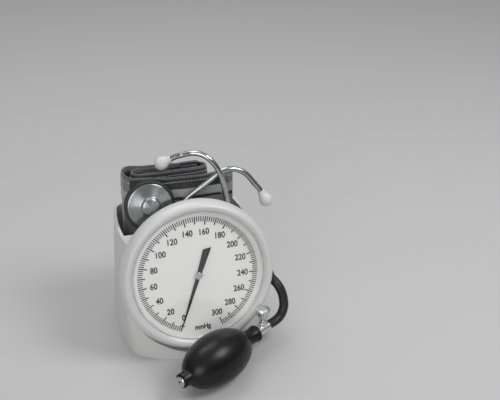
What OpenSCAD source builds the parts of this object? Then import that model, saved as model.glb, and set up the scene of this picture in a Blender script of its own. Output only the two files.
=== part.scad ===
// Desk aneroid sphygmomanometer: tilted round gauge on a flared foot, a basket behind it that holds
// the folded cuff and the stethoscope, and the bulb with its release valve joined by one hose.
// Millimetres. X to the right, Y to the back, Z up; the origin is the middle of the flat underside.

/* [Dial] */
// Outer diameter of the printed scale
scale_d = 110; // [104:1:114]
// Backward lean of the dial from upright, in degrees
dial_tilt = 10; // [8:1:12]
// Plain margin between the scale and the bezel lip
lip_margin = 5.2; // [4.6:0.1:6]
// Radial width of the bezel ring
ring_w = 9.8; // [9:0.1:11]
// Height of the bezel crest above the dial face
ring_crest = 7.4; // [6:0.1:9]
// Height of the bezel's lowest point above the table
ring_lift = 8.5; // [7:0.5:10]
// Distance of the dial centre behind the front of the foot
dial_setback = 16; // [15:0.5:18]
// Angle that the scale spans, in degrees
scale_span = 318; // [300:1:330]

/* [Housing] */
// Width of the foot
base_w = 133; // [131:1:140]
// Depth of the foot
base_depth = 121; // [119:1:126]
// Width across the basket's rim
rim_w = 122; // [119:1:126]
// Height of the basket's rim
rim_z = 106; // [96:1:110]
// Thickness of the moulded walls
wall = 2.8; // [2.2:0.1:3.2]
// Thickness of the basket floor
floor_t = 3; // [2.5:0.1:4]
// Height of the foot's upright edge
foot_h = 6.5; // [5.5:0.5:8]
// Radius of the bowed front
front_bow_r = 97; // [90:1:105]
// Radius of the bowed sides
side_bow_r = 200; // [180:5:260]
// Radius of the front corners
front_corner_r = 22; // [18:1:26]
// Radius of the back corners
back_corner_r = 14; // [10:1:18]
// Distance of the basket's partition behind the dial centre
partition_back = 36.5; // [36:0.5:38]
// Thickness of the partition
partition_t = 2.5; // [2:0.1:3]

/* [Movement] */
// Gear module of the pinion and the sector
gear_module = 0.35; // [0.34:0.01:0.37]
// Teeth that the sector would have on a full circle
sector_full_teeth = 120; // [118:1:122]
// Diameter of the aneroid capsule
capsule_d = 34; // [28:1:36]
// Radius of the movement plates
plate_r = 32; // [32:0.5:34]
// Diameter of the arbors and the rocker shaft
arbor_d = 1.6; // [1.4:0.1:1.8]
// Radial running clearance of the arbors
run_gap = 0.05; // [0.03:0.01:0.08]

/* [Bulb and valve] */
// Length of the bulb without its necks
bulb_len = 74; // [68:1:76]
// Diameter of the bulb
bulb_d = 45.8; // [42:0.2:47]
// Thickness of the bulb's rubber
bulb_wall = 2.4; // [2:0.1:3]
// Turn of the bulb's axis from the X axis, in degrees
bulb_turn = 29.7; // [28:0.1:31]
// Diameter of the release valve's chrome body
valve_d = 9.8; // [9:0.1:10.4]
// Diameter of the thumb knob
knob_d = 13.2; // [12:0.1:14]
// Outer diameter of the hose
hose_d = 8.6; // [8:0.1:9]

/* [Cuff] */
// Width of the cuff, which is its height as it stands
cuff_w = 147; // [130:1:150]
// Thickness of one folded layer
cuff_t = 5; // [4:0.1:5.2]
// Diameter of the D-ring's wire
d_ring_wire = 3; // [2.5:0.1:3.2]

/* [Stethoscope] */
// Diameter of the chest piece over its rim
chest_d = 47; // [42:0.5:48]
// Outer diameter of the binaural tubes
binaural_d = 5; // [4.5:0.1:5.2]
// Outer diameter of the rubber tubing
tubing_d = 8; // [7:0.1:8.2]
// Radius of the put-away tubing coil
coil_r = 38; // [34:0.5:39]

/* [Hidden] */
$fn = 64;
eps = 0.01;

// Places that everything else hangs from
front_y = -base_depth / 2;
back_y = base_depth / 2;
dial_y = front_y + dial_setback;
lip_r = scale_d / 2 + lip_margin;
ring_r = lip_r + ring_w;
dial_z = ring_r * cos(dial_tilt) + ring_lift;
partition_y = dial_y + partition_back;
basket_y = partition_y + partition_t;

// Heights along the dial's axis, measured from the dial face towards the viewer
ring_back = -6.2;
flange_back = -8.2;
drum_back = -31.5;
well_floor = -29.4;
case_back = -29;
case_floor = -27;
taper_start = -12;
dial_t = 0.8;
lens_back = 2.9;
lens_t = 1.2;
base_top = -24;
capsule_top = -19.5;
rocker_h = -17;
lower_plate_h = -14;
plate_t = 1;
sector_h = -11;
upper_plate_h = -6;
pointer_h = 0.9;
pointer_t = 0.5;
cap_h = 1;

module at_dial() {
  translate([0, dial_y, dial_z]) rotate([90 - dial_tilt, 0, 0]) children();
}

// A direction and a point of the dial's frame, in the part's own frame
function dial_dir(p) = [
  p.x, p.y * sin(dial_tilt) - p.z * cos(dial_tilt), p.y * cos(dial_tilt) + p.z * sin(dial_tilt)
];
function dial_point(p) = [0, dial_y, dial_z] + dial_dir(p);

function arc(c, r, a0, a1, n) = [
  for (i = [0:n]) let (a = a0 + (a1 - a0) * i / n) c + r * [cos(a), sin(a)]
];
function unit(v) = v / norm(v);

// Outline of the foot in plan: a bowed front, bowed sides and four corners, all arcs tangent to each other
side_y = front_y + 0.58 * base_depth;
function side_centre(w) = [w / 2 - side_bow_r, side_y];
function back_centre(w) = let (s = side_centre(w), dy = back_y - back_corner_r - side_y)
  [s.x + sqrt(pow(side_bow_r - back_corner_r, 2) - dy * dy), back_y - back_corner_r];
function corner_centre(w) =
  let (
    f = [0, front_y + front_bow_r],
    s = side_centre(w),
    p = front_bow_r - front_corner_r,
    q = side_bow_r - front_corner_r,
    d = norm(s - f),
    along = (p * p - q * q + d * d) / (2 * d),
    across = sqrt(p * p - along * along),
    u = (s - f) / d
  ) f + along * u + across * [-u.y, u.x];
function half_outline(w, inset) =
  let (
    f = [0, front_y + front_bow_r],
    s = side_centre(w),
    c = corner_centre(w),
    b = back_centre(w),
    a_front = atan2(c.y - f.y, c.x - f.x),
    a_side = atan2(c.y - s.y, c.x - s.x),
    a_back = atan2(b.y - s.y, b.x - s.x)
  ) concat(
    arc(f, front_bow_r - inset, -90, a_front, 8),
    arc(c, front_corner_r - inset, a_front, a_side, 6),
    arc(s, side_bow_r - inset, a_side, a_back, 6),
    arc(b, back_corner_r - inset, a_back, 90, 6)
  );
function outline(w, inset) =
  let (h = half_outline(w, inset)) concat(h, [for (i = [len(h) - 1:-1:1]) [-h[i].x, h[i].y]]);

// Half of the foot's width at a given depth, along its front corners and its sides
function half_width(y) =
  let (
    c = corner_centre(base_w),
    s = side_centre(base_w),
    a_side = atan2(c.y - s.y, c.x - s.x)
  ) y < c.y + front_corner_r * sin(a_side)
    ? c.x + sqrt(pow(front_corner_r, 2) - pow(y - c.y, 2))
    : s.x + sqrt(pow(side_bow_r, 2) - pow(y - s.y, 2));

// The outline, inset and cut to a stretch of the depth
module outline_slab(w, inset, y0, y1, t) {
  linear_extrude(t) intersection() {
    polygon(outline(w, inset));
    translate([-w, y0]) square([2 * w, y1 - y0]);
  }
}

// Tapered drum behind the bezel, and the well inside it
drum_r = ring_r - 0.7;
flange_r = lip_r + 6.2;
well_r = lip_r + 2.2;
case_r = lip_r + 1.8;
case_wall = 1.8;
back_taper = 8;
body_r = drum_r - 2.4;
port_v = -14;
port_h = -24.2;
port_stem_r = 2.25;
port_seat_r = 6.4;
flank_x = 0.25 * base_w / 2 + 0.75 * body_r;
port_boss_x = flank_x - 2.4;
nipple_x = 40;
nipple_r = 2.2;
hole_gap = 0.35;
groove_w = 3.4;

module drum() {
  at_dial() rotate_extrude($fn = 96) polygon([
    [0, drum_back], [well_r - back_taper + 4, drum_back], [well_r + 0.2, -20],
    [well_r + 3.9, taper_start], [drum_r, ring_back], [0, ring_back]
  ]);
}

module well() {
  at_dial() rotate_extrude($fn = 96) polygon([
    [0, well_floor], [well_r - back_taper, well_floor], [well_r, taper_start], [well_r, flange_back],
    [flange_r + 0.2, flange_back], [flange_r + 0.2, 60], [0, 60]
  ]);
}

// Room for the bezel and the rounded valley around it
module ring_room() {
  at_dial() rotate_extrude($fn = 96) union() {
    square_from([0, ring_back], [drum_r, 60]);
    square_from([drum_r, ring_back - 0.6], [ring_r + groove_w, 60]);
    translate([ring_r + groove_w - 2, ring_back - 0.6]) circle(2);
  }
}

module square_from(a, b) {
  translate(a) square(b - a);
}

// Plastic that the hollow of the foot keeps around the drum and the valley
module hollow_guard() {
  at_dial() rotate_extrude($fn = 96) polygon([
    [0, -45], [well_r - back_taper + 4.1, -45], [well_r - back_taper + 4.1, drum_back],
    [well_r + 4, taper_start], [well_r + 4, ring_back - 5.4],
    [ring_r + groove_w + 2.2, ring_back - 5.4], [ring_r + groove_w + 2.2, 60], [0, 60]
  ]);
}

module lower_half_disc(r, h0, h1, z0) {
  intersection() {
    at_dial() translate([0, 0, h0]) cylinder(r1 = r - 0.46 * (h1 - h0), r2 = r, h = h1 - h0);
    translate([-r - 1, dial_y - 100, z0]) cube([2 * r + 2, 200, dial_z - z0]);
  }
}

boss_r = 3.4;
screw_seats = [for (x = [-1, 1], d = [9, 28]) let (y = dial_y + d)
  [x * (half_width(y) - wall - boss_r + 0.8), y]];
case_screw_angles = [90, 210, 330];
case_screw_r = lip_r + 4;
front_feet = [for (x = [-1, 1]) [x * 30, front_y + 15]];
back_feet = [for (x = [-1, 1]) [x * 46, back_y - 14]];
foot_pad_r = 6;
foot_pad_t = 1.2;
plate_recess = 2;
boss_top = 12;

module port_bore(r, x0, x1) {
  at_dial() translate([x0, port_v, port_h]) rotate([0, 90, 0]) cylinder(r = r, h = x1 - x0, $fn = 32);
}

module nipple_bore(r, h0, h1) {
  at_dial() translate([nipple_x, port_v, h0]) cylinder(r = r, h = h1 - h0, $fn = 32);
}

module housing() {
  color("whitesmoke") difference() {
    union() {
      difference() {
        union() {
          hull() {
            outline_slab(base_w, 0, dial_y + 14, back_y, 1);
            translate([0, 0, rim_z - 1]) outline_slab(rim_w, 0, dial_y + 22, back_y, 1);
          }
          difference() {
            hull() {
              outline_slab(base_w, 0, front_y - 1, dial_y + 50, foot_h - 1.5);
              outline_slab(base_w, 1.5, front_y - 1, dial_y + 50, foot_h);
              lower_half_disc(body_r, -24, -10, 1);
            }
            ring_room();
          }
        }
        hull() {
          translate([0, 0, floor_t]) outline_slab(base_w, wall, basket_y, back_y, 1);
          translate([0, 0, rim_z]) outline_slab(rim_w, wall, basket_y, back_y, 1);
        }
        difference() {
          union() {
            hull() {
              translate([0, 0, -1]) outline_slab(base_w, wall, front_y, partition_y, foot_h - wall + 1);
              lower_half_disc(body_r - wall, -24, -10, 1);
            }
            hull() {
              translate([0, 0, -1]) outline_slab(base_w, wall, dial_y + 10, partition_y, 1);
              translate([0, 0, rim_z - wall - 1]) outline_slab(rim_w, wall, dial_y + 22 + wall, partition_y, 1);
            }
          }
          hollow_guard();
          translate([-base_w, partition_y, -2]) cube([2 * base_w, base_depth, rim_z + 4]);
        }
      }
      drum();
      for (p = screw_seats) translate([p.x, p.y, 1]) cylinder(r = boss_r, h = boss_top - 1);
      port_boss();
    }
    well();
    at_dial() translate([0, 0, ring_back]) cylinder(r = drum_r + 0.01, h = 1 - eps);
    translate([0, 0, -1]) outline_slab(base_w, wall - 1.2, front_y, partition_y - 0.8, plate_recess + 1);
    for (p = screw_seats) translate([p.x, p.y, 1]) cylinder(r = 1.25, h = 9.5, $fn = 24);
    for (p = back_feet) translate([p.x, p.y, -1]) cylinder(r = foot_pad_r + 0.1, h = foot_pad_t + 1);
    for (a = case_screw_angles) at_dial() rotate([0, 0, a]) translate([case_screw_r, 0, taper_start - 0.5])
      cylinder(r = 1.05, h = 6, $fn = 24);
    port_bore(port_stem_r + hole_gap, 45, port_boss_x + 1);
    port_bore(port_seat_r, port_boss_x, port_boss_x + 12);
    nipple_bore(nipple_r + hole_gap, -45, well_floor + 1);
  }
}

// Boss behind the sunk flat seat of the elbow's nut, on the right flank
module port_boss() {
  difference() {
    port_bore(port_seat_r + 1.2, port_boss_x - 6, port_boss_x);
    well();
  }
}

module base_plate() {
  color("whitesmoke") difference() {
    outline_slab(base_w, wall - 1, front_y, partition_y - 1, plate_recess - 0.05);
    for (p = screw_seats) {
      translate([p.x, p.y, -1]) cylinder(r = 1.5, h = 5, $fn = 24);
      translate([p.x, p.y, -1]) cylinder(r = 2.8, h = 2.1, $fn = 32);
    }
    for (p = front_feet) translate([p.x, p.y, -1]) cylinder(r = foot_pad_r + 0.1, h = foot_pad_t + 1);
  }
}

module rubber_feet() {
  color("dimgray") for (p = concat(front_feet, back_feet)) translate([p.x, p.y, 0]) rotate_extrude() polygon([
    [0, 0], [foot_pad_r - 0.3, 0], [foot_pad_r, 0.3], [foot_pad_r, foot_pad_t], [0, foot_pad_t]
  ]);
}

module base_screws() {
  color("silver") for (p = screw_seats) translate([p.x, p.y, 0.2]) {
    difference() {
      cylinder(r = 2.6, h = 0.9, $fn = 32);
      cross_slot(1.4, 0.5);
    }
    translate([0, 0, 0.9 - eps]) cylinder(r = 1.2, h = 8, $fn = 24);
  }
}

module cross_slot(l, d) {
  for (a = [0, 90]) rotate([0, 0, a]) translate([-l, -0.3, -eps]) cube([2 * l, 0.6, d]);
}

// Bezel: a broad ring with a sloped inner lip, a crest and a long rounded outer roll
module bezel_ring() {
  crest_r = lip_r + 4.3;
  roll = [for (a = [0:7.5:90]) [crest_r + (ring_r - crest_r) * cos(a), -4 + (ring_crest + 4) * sin(a)]];
  color("white") at_dial() rotate_extrude($fn = 128) polygon(concat(
    [[case_r + 0.1, ring_back], [ring_r - 0.4, ring_back]], roll,
    [[lip_r + 2.2, ring_crest - 0.7], [lip_r, lens_back + lens_t + 0.8], [lip_r, lens_back + lens_t],
      [case_r + 0.1, lens_back + lens_t]]
  ));
}

module lens() {
  color([0.9, 0.95, 1, 0.3]) at_dial() translate([0, 0, lens_back])
    cylinder(r = case_r - 0.2, h = lens_t, $fn = 128);
}

module spacer_ring() {
  color("white") at_dial() difference() {
    cylinder(r = case_r - 0.2, h = lens_back, $fn = 128);
    translate([0, 0, -1]) cylinder(r = lip_r - 0.8, h = lens_back + 2, $fn = 128);
  }
}

module dial_plate() {
  color("white") at_dial() translate([0, 0, -dial_t]) difference() {
    cylinder(r = case_r - 0.2, h = dial_t, $fn = 128);
    translate([0, 0, -1]) cylinder(r = 3, h = dial_t + 2, $fn = 32);
  }
}

module gauge_case() {
  color("gainsboro") difference() {
    at_dial() rotate_extrude($fn = 96) polygon([
      [0, case_back], [case_r - back_taper, case_back], [case_r, taper_start], [case_r, flange_back],
      [flange_r, flange_back], [flange_r, ring_back], [case_r, ring_back], [case_r, -dial_t],
      [case_r - case_wall, -dial_t], [case_r - case_wall, taper_start],
      [case_r - case_wall - back_taper + 1, case_floor], [0, case_floor]
    ]);
    for (a = case_screw_angles) at_dial() rotate([0, 0, a]) translate([case_screw_r, 0, flange_back - 1]) {
      cylinder(r = 1.05, h = 4, $fn = 24);
      translate([0, 0, 1.8]) cylinder(r = 1.95, h = 3, $fn = 24);
    }
    for (a = movement_screw_angles) at_dial() rotate([0, 0, a]) translate([movement_screw_r, 0, case_back - 1])
      cylinder(r = 1.35, h = 4, $fn = 24);
    port_bore(port_stem_r + hole_gap, case_r - back_taper - 12, case_r);
    nipple_bore(nipple_r + hole_gap, case_back - 1, case_floor + 1);
  }
}

module case_screws() {
  color("silver") at_dial() for (a = case_screw_angles) rotate([0, 0, a])
    translate([case_screw_r, 0, flange_back + 0.8]) {
    difference() {
      cylinder(r = 1.8, h = 1.1, $fn = 24);
      translate([0, 0, 0.6]) cross_slot(1.2, 0.6);
    }
    translate([0, 0, -4.4]) cylinder(r = 1, h = 4.4 + eps, $fn = 24);
  }
}

// Movement: cast base with its air channel, capsule, two plates on posts and pillars, and the gear train
movement_screw_angles = [60, 180, 300];
movement_screw_r = plate_r - 2;
post_angles = [0, 120, 240];
post_r = plate_r - 4;
block_x = 48;

module ring_of(angles, r) {
  for (a = angles) rotate([0, 0, a]) translate([r, 0, 0]) children();
}

module pressure_base() {
  color("darkkhaki") at_dial() difference() {
    union() {
      translate([0, 0, case_floor]) cylinder(r = plate_r + 1, h = base_top - case_floor, $fn = 96);
      translate([20, port_v - 4, case_floor]) cube([block_x - 20, 8, port_h - case_floor + 3]);
    }
    ring_of(movement_screw_angles, movement_screw_r) translate([0, 0, case_floor - 1])
      cylinder(r = 1.35, h = 5, $fn = 24);
    translate([22, port_v, port_h]) rotate([0, 90, 0]) cylinder(r = 1.2, h = block_x, $fn = 24);
    translate([block_x - 5, port_v, port_h]) rotate([0, 90, 0])
      cylinder(r = port_stem_r + run_gap, h = 6, $fn = 32);
    translate([nipple_x, port_v, case_floor - 1]) cylinder(r = 1.2, h = 4, $fn = 24);
    channel([24, port_v, -25.3], [0, 0, -25.6], 0.8);
    translate([0, 0, -25.6]) cylinder(r = 1.2, h = 4, $fn = 24);
  }
}

// Straight drilled channel between two points
module channel(a, b, r) {
  v = b - a;
  translate(a) rotate([0, acos(v.z / norm(v)), atan2(v.y, v.x)]) cylinder(r = r, h = norm(v), $fn = 24);
}

module movement_screws() {
  color("silver") at_dial() ring_of(movement_screw_angles, movement_screw_r) translate([0, 0, base_top]) {
    difference() {
      cylinder(r = 2.2, h = 1.6, $fn = 32);
      translate([0, 0, 1.1]) cross_slot(1.5, 0.7);
    }
    translate([0, 0, case_back - base_top + 0.2])
      cylinder(r = 1.3, h = base_top - case_back - 0.2 + eps, $fn = 24);
  }
}

// Corrugated capsule: two dished diaphragms joined at a flat seam
function ripple(r) = 0.28 * sin(r * 100);
module capsule() {
  r_seam = capsule_d / 2;
  mid = (base_top + capsule_top) / 2;
  steps = 16;
  lower = [for (i = [0:steps]) let (r = 4 + (r_seam - 5) * i / steps, up = (mid - 0.8 - base_top) * i / steps)
    [r, base_top + 0.5 + up + ripple(r) * sin(180 * i / steps)]];
  upper = [for (i = [0:steps]) [lower[steps - i].x, 2 * mid - lower[steps - i].y]];
  color("goldenrod") at_dial() rotate_extrude($fn = 96) polygon(concat(
    [[0, base_top], [4, base_top]], lower, [[r_seam, mid - 0.3], [r_seam, mid + 0.3]], upper,
    [[4, capsule_top], [0, capsule_top]]
  ));
}

module capsule_pusher() {
  color("gold") at_dial() rotate_extrude($fn = 48) polygon([
    [0, capsule_top + 0.05], [3.6, capsule_top + 0.05], [3.6, capsule_top + 0.6], [1.2, capsule_top + 0.9],
    [0.5, capsule_top + 1.2], [0.5, rocker_h - 0.7], [0, rocker_h - 0.7]
  ]);
}

module lower_posts() {
  color("goldenrod") at_dial() ring_of(post_angles, post_r) difference() {
    translate([0, 0, base_top]) cylinder(r = 1.8, h = lower_plate_h - base_top, $fn = 32);
    translate([0, 0, lower_plate_h - 4]) cylinder(r = 0.85, h = 5, $fn = 24);
  }
}

pinion_teeth = 10;
pinion_pitch_r = gear_module * pinion_teeth / 2;
sector_pitch_r = gear_module * sector_full_teeth / 2;
gear_centres = pinion_pitch_r + sector_pitch_r;
rocker_u = -5;
sector_u = rocker_u - 1.2;
sector_c = [sector_u, sqrt(gear_centres * gear_centres - sector_u * sector_u)];
drive_arm = 3.2;
drive_pin_r = 0.5;
drive_tip_h = 4.6;
sector_swing = scale_span * pinion_teeth / sector_full_teeth;
arbor_r = arbor_d / 2;

module plate_holes() {
  translate([0, 0, -1]) cylinder(r = arbor_r + run_gap, h = 4, $fn = 32);
  translate([sector_c.x, sector_c.y, -1]) cylinder(r = arbor_r + run_gap, h = 4, $fn = 32);
  ring_of(post_angles, post_r) translate([0, 0, -1]) cylinder(r = 0.85, h = 4, $fn = 24);
}

module lower_plate() {
  color("khaki") at_dial() translate([0, 0, lower_plate_h]) difference() {
    cylinder(r = plate_r, h = plate_t, $fn = 96);
    plate_holes();
    translate([rocker_u - 3.6, sector_c.y + drive_arm - 1.6, -1]) cube([5.4, 3.2, 4]);
    for (a = [180, 285]) rotate([0, 0, a]) translate([18, 0, -1]) cylinder(r = 7, h = 4, $fn = 48);
  }
}

module upper_pillars() {
  color("goldenrod") at_dial() ring_of(post_angles, post_r) difference() {
    union() {
      translate([0, 0, lower_plate_h + plate_t])
        cylinder(r = 1.6, h = upper_plate_h - lower_plate_h - plate_t, $fn = 32);
      translate([0, 0, lower_plate_h - 3.5]) cylinder(r = 0.8, h = 5, $fn = 24);
    }
    translate([0, 0, upper_plate_h - 3.4]) cylinder(r = 0.85, h = 5, $fn = 24);
  }
}

module upper_plate() {
  color("khaki") at_dial() translate([0, 0, upper_plate_h]) difference() {
    cylinder(r = plate_r, h = plate_t, $fn = 96);
    plate_holes();
    for (a = [180, 240, 300]) rotate([0, 0, a + 30]) translate([18, 0, -1]) cylinder(r = 6.5, h = 4, $fn = 48);
  }
}

module plate_screws() {
  color("silver") at_dial() ring_of(post_angles, post_r) translate([0, 0, upper_plate_h + plate_t]) {
    difference() {
      cylinder(r = 1.7, h = 1.1, $fn = 32);
      translate([0, 0, 0.7]) cross_slot(1.1, 0.6);
    }
    translate([0, 0, -4]) cylinder(r = 0.8, h = 4 + eps, $fn = 24);
  }
}

lug_far = sector_c.y + 6;
lug_near = -7;
lug_t = 2;

module rocker_bearings() {
  color("khaki") at_dial() for (v = [lug_near, lug_far]) translate([rocker_u, v, 0]) difference() {
    union() {
      translate([-2.2, 0, rocker_h]) cube([4.4, lug_t, lower_plate_h - rocker_h]);
      translate([0, 0, rocker_h]) rotate([-90, 0, 0]) cylinder(r = 2.2, h = lug_t, $fn = 32);
    }
    translate([0, -1, rocker_h]) rotate([-90, 0, 0]) cylinder(r = arbor_r + run_gap, h = lug_t + 2, $fn = 32);
  }
}

// Rocker shaft: one arm lies on the pusher, the other stands up to drive the sector's pin
module rocker_shaft() {
  arm_v = sector_c.y + drive_arm;
  color("silver") at_dial() translate([rocker_u, 0, rocker_h]) {
    translate([0, lug_near - 1, 0]) rotate([-90, 0, 0])
      cylinder(r = arbor_r, h = lug_far - lug_near + lug_t + 2, $fn = 32);
    translate([0, -1, -0.5]) cube([-rocker_u, 2, 1]);
    translate([-rocker_u, -1, 0]) rotate([-90, 0, 0]) cylinder(r = 0.6, h = 2, $fn = 32);
    translate([-0.4, arm_v - 1, 0]) cube([0.8, 2, drive_tip_h]);
    translate([0, arm_v - 1, drive_tip_h]) rotate([-90, 0, 0]) cylinder(r = 0.6, h = 2, $fn = 32);
  }
}

// Involute tooth flanks. Angles in degrees; backlash is taken off each flank as an angle.
pressure_angle = 20;
function inv(a) = tan(a) * 180 / PI - a;
function flank_offset(rp, teeth, thin, r) =
  let (rb = rp * cos(pressure_angle), ra = max(r, rb))
  90 / teeth + inv(pressure_angle) - inv(acos(rb / ra)) - thin;
function tooth(rp, teeth, root, tip, thin, at) =
  let (
    rb = rp * cos(pressure_angle),
    start = max(root, rb),
    radii = [root, for (i = [0:3]) start + (tip - start) * i / 3]
  ) concat(
    [for (r = radii) let (a = at - flank_offset(rp, teeth, thin, r)) r * [cos(a), sin(a)]],
    [for (i = [len(radii) - 1:-1:0]) let (r = radii[i])
      r * [cos(at + flank_offset(rp, teeth, thin, r)), sin(at + flank_offset(rp, teeth, thin, r))]]
  );

mesh_angle = atan2(sector_c.y, sector_c.x);
backlash = 0.05;
sector_thin = backlash / sector_pitch_r * 180 / PI;
pinion_thin = backlash / pinion_pitch_r * 180 / PI;

module sector_gear() {
  pitch_angle = 360 / sector_full_teeth;
  spare = 2;
  count = ceil(sector_swing / pitch_angle) + spare;
  root = sector_pitch_r - 1.15 * gear_module;
  rim = root - 2.6;
  first = mesh_angle + 180 + spare * pitch_angle;
  last = mesh_angle + 180 - count * pitch_angle;
  // the teeth run clockwise, so the inner edge of the rim runs back the other way
  inner = [for (i = [0:12]) rim * [cos(last - pitch_angle / 2 + (first - last + pitch_angle) * i / 12),
    sin(last - pitch_angle / 2 + (first - last + pitch_angle) * i / 12)]];
  ordered = [for (k = [-spare:count]) let (t = tooth(sector_pitch_r, sector_full_teeth, root,
    sector_pitch_r + 0.6 * gear_module, sector_thin, mesh_angle + 180 - k * pitch_angle))
    each [for (i = [len(t) - 1:-1:0]) t[i]]];
  color("gold") at_dial() translate([sector_c.x, sector_c.y, 0]) {
    translate([0, 0, sector_h]) difference() {
      linear_extrude(plate_t) union() {
        polygon(concat(ordered, inner));
        for (a = [first - 3, last + 3]) rotate(a) translate([0, -0.9]) square([rim + 0.6, 1.8]);
        circle(3, $fn = 48);
        translate([-1.2, 0]) square([2.4, drive_arm]);
        translate([0, drive_arm]) circle(1.2, $fn = 32);
      }
      translate([0, 0, -1]) cylinder(r = arbor_r, h = 4, $fn = 32);
    }
    translate([0, drive_arm, sector_h - 1.7]) cylinder(r = drive_pin_r, h = 1.7 + eps, $fn = 24);
    translate([0, 0, lower_plate_h])
      cylinder(r = arbor_r, h = upper_plate_h + plate_t - lower_plate_h, $fn = 32);
    translate([0, 0, lower_plate_h + plate_t + 0.1])
      cylinder(r = 1.6, h = sector_h - lower_plate_h - plate_t - 0.1, $fn = 32);
    translate([0, 0, sector_h + plate_t])
      cylinder(r = 1.6, h = upper_plate_h - sector_h - plate_t - 0.1, $fn = 32);
  }
}

collet_r = 1.9;
collet_h = -8.8;

module pinion_arbor() {
  root = pinion_pitch_r - 1.1 * gear_module;
  gap_at = mesh_angle + 180 / pinion_teeth;
  teeth = [for (k = [0:pinion_teeth - 1]) each tooth(pinion_pitch_r, pinion_teeth, root,
    pinion_pitch_r + 0.9 * gear_module, pinion_thin, gap_at + k * 360 / pinion_teeth)];
  color("silver") at_dial() {
    translate([0, 0, sector_h - 0.4]) linear_extrude(plate_t + 0.8) polygon(teeth);
    translate([0, 0, lower_plate_h]) cylinder(r = arbor_r, h = pointer_h + pointer_t - lower_plate_h, $fn = 32);
    translate([0, 0, collet_h]) cylinder(r = collet_r, h = 1.1, $fn = 48);
  }
}

// Flat hairspring: one unbroken spiral from the collet to the stud
spring_turns = 5;
spring_t = 0.18;
spring_r0 = collet_r + 0.06 + spring_t / 2;
spring_r1 = 8.2;
module hairspring() {
  n = spring_turns * 20;
  function spiral(off) = [for (i = [0:n]) let (a = 360 * spring_turns * i / n)
    (spring_r0 + (spring_r1 - spring_r0) * i / n + off) * [cos(a), sin(a)]];
  outer = spiral(spring_t / 2);
  inner = spiral(-spring_t / 2);
  color("steelblue") at_dial() translate([0, 0, collet_h + 0.15]) linear_extrude(0.8)
    polygon(concat(outer, [for (i = [n:-1:0]) inner[i]]));
}

module hairspring_stud() {
  color("gold") at_dial() translate([spring_r1 + spring_t / 2 + 0.72, 0, collet_h - 0.1])
    cylinder(r = 0.7, h = upper_plate_h - collet_h + 0.1, $fn = 32);
}

// Pointer lies along local +Y and is turned to the zero mark
zero_turn = scale_span / 2;
pointer_reach = scale_d / 2 - 3.6;
tail_reach = 28;
module pointer() {
  color("black") at_dial() rotate([0, 0, zero_turn]) translate([0, 0, pointer_h]) difference() {
    union() {
      linear_extrude(pointer_t) polygon([[-0.25, pointer_reach], [0.25, pointer_reach], [1.9, 3], [2.1, -3],
        [3.3, -tail_reach + 3.4], [-3.3, -tail_reach], [-2.1, -3], [-1.9, 3]]);
      cylinder(r = 3.2, h = pointer_t, $fn = 48);
    }
    translate([0, 0, -1]) cylinder(r = arbor_r + 0.02, h = 3, $fn = 32);
  }
}

module pointer_cap() {
  color("gray") at_dial() translate([0, 0, pointer_h + pointer_t]) rotate_extrude($fn = 48) polygon([
    [0, 0], [3.4, 0], [3.4, cap_h - 0.35], [3.05, cap_h], [0, cap_h]
  ]);
}

// Elbow through the right flank: stem, ball corner and barbed leg that points to the front
elbow_leg = 14;
elbow_x = port_boss_x + 7;
elbow_dip = 20;
elbow_ball_r = 3.3;
elbow_bore = 1.3;
module inlet_elbow() {
  color("silver") at_dial() translate([elbow_x, port_v, port_h]) difference() {
    union() {
      sphere(elbow_ball_r, $fn = 48);
      translate([block_x - 5 - elbow_x, 0, 0]) rotate([0, 90, 0])
        cylinder(r = port_stem_r, h = elbow_x - block_x + 5, $fn = 32);
      rotate([elbow_dip, 0, 0]) {
        cylinder(r = port_stem_r, h = elbow_leg, $fn = 32);
        for (i = [0:2]) translate([0, 0, elbow_leg - 8.4 + 2.8 * i])
          cylinder(r1 = port_stem_r + 0.6, r2 = port_stem_r, h = 2.4, $fn = 32);
      }
    }
    translate([block_x - 6 - elbow_x, 0, 0]) rotate([0, 90, 0])
      cylinder(r = elbow_bore, h = elbow_x - block_x + 6, $fn = 24);
    rotate([elbow_dip, 0, 0]) cylinder(r = elbow_bore, h = elbow_leg + 1, $fn = 24);
  }
}

module elbow_nut() {
  color("silver") at_dial() translate([port_boss_x, port_v, port_h]) rotate([0, 90, 0]) difference() {
    cylinder(r = 4.6, h = 2.2, $fn = 6);
    translate([0, 0, -1]) cylinder(r = port_stem_r + run_gap, h = 5, $fn = 32);
  }
}

module cuff_port() {
  tip = 12;
  shoulder = -(partition_back + partition_t + 2.4) / cos(dial_tilt);
  color("silver") at_dial() translate([nipple_x, port_v, 0]) difference() {
    union() {
      translate([0, 0, shoulder - tip])
        cylinder(r = nipple_r - 0.3, h = case_floor - shoulder + tip, $fn = 32);
      translate([0, 0, shoulder]) cylinder(r = nipple_r, h = case_floor - shoulder, $fn = 32);
      for (i = [0:2]) translate([0, 0, shoulder - tip + 0.4 + 3 * i])
        cylinder(r1 = nipple_r - 0.3, r2 = nipple_r + 0.4, h = 2.4, $fn = 32);
    }
    translate([0, 0, shoulder - tip - 1]) cylinder(r = 1.1, h = case_floor - shoulder + tip + 2, $fn = 24);
  }
}

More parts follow.
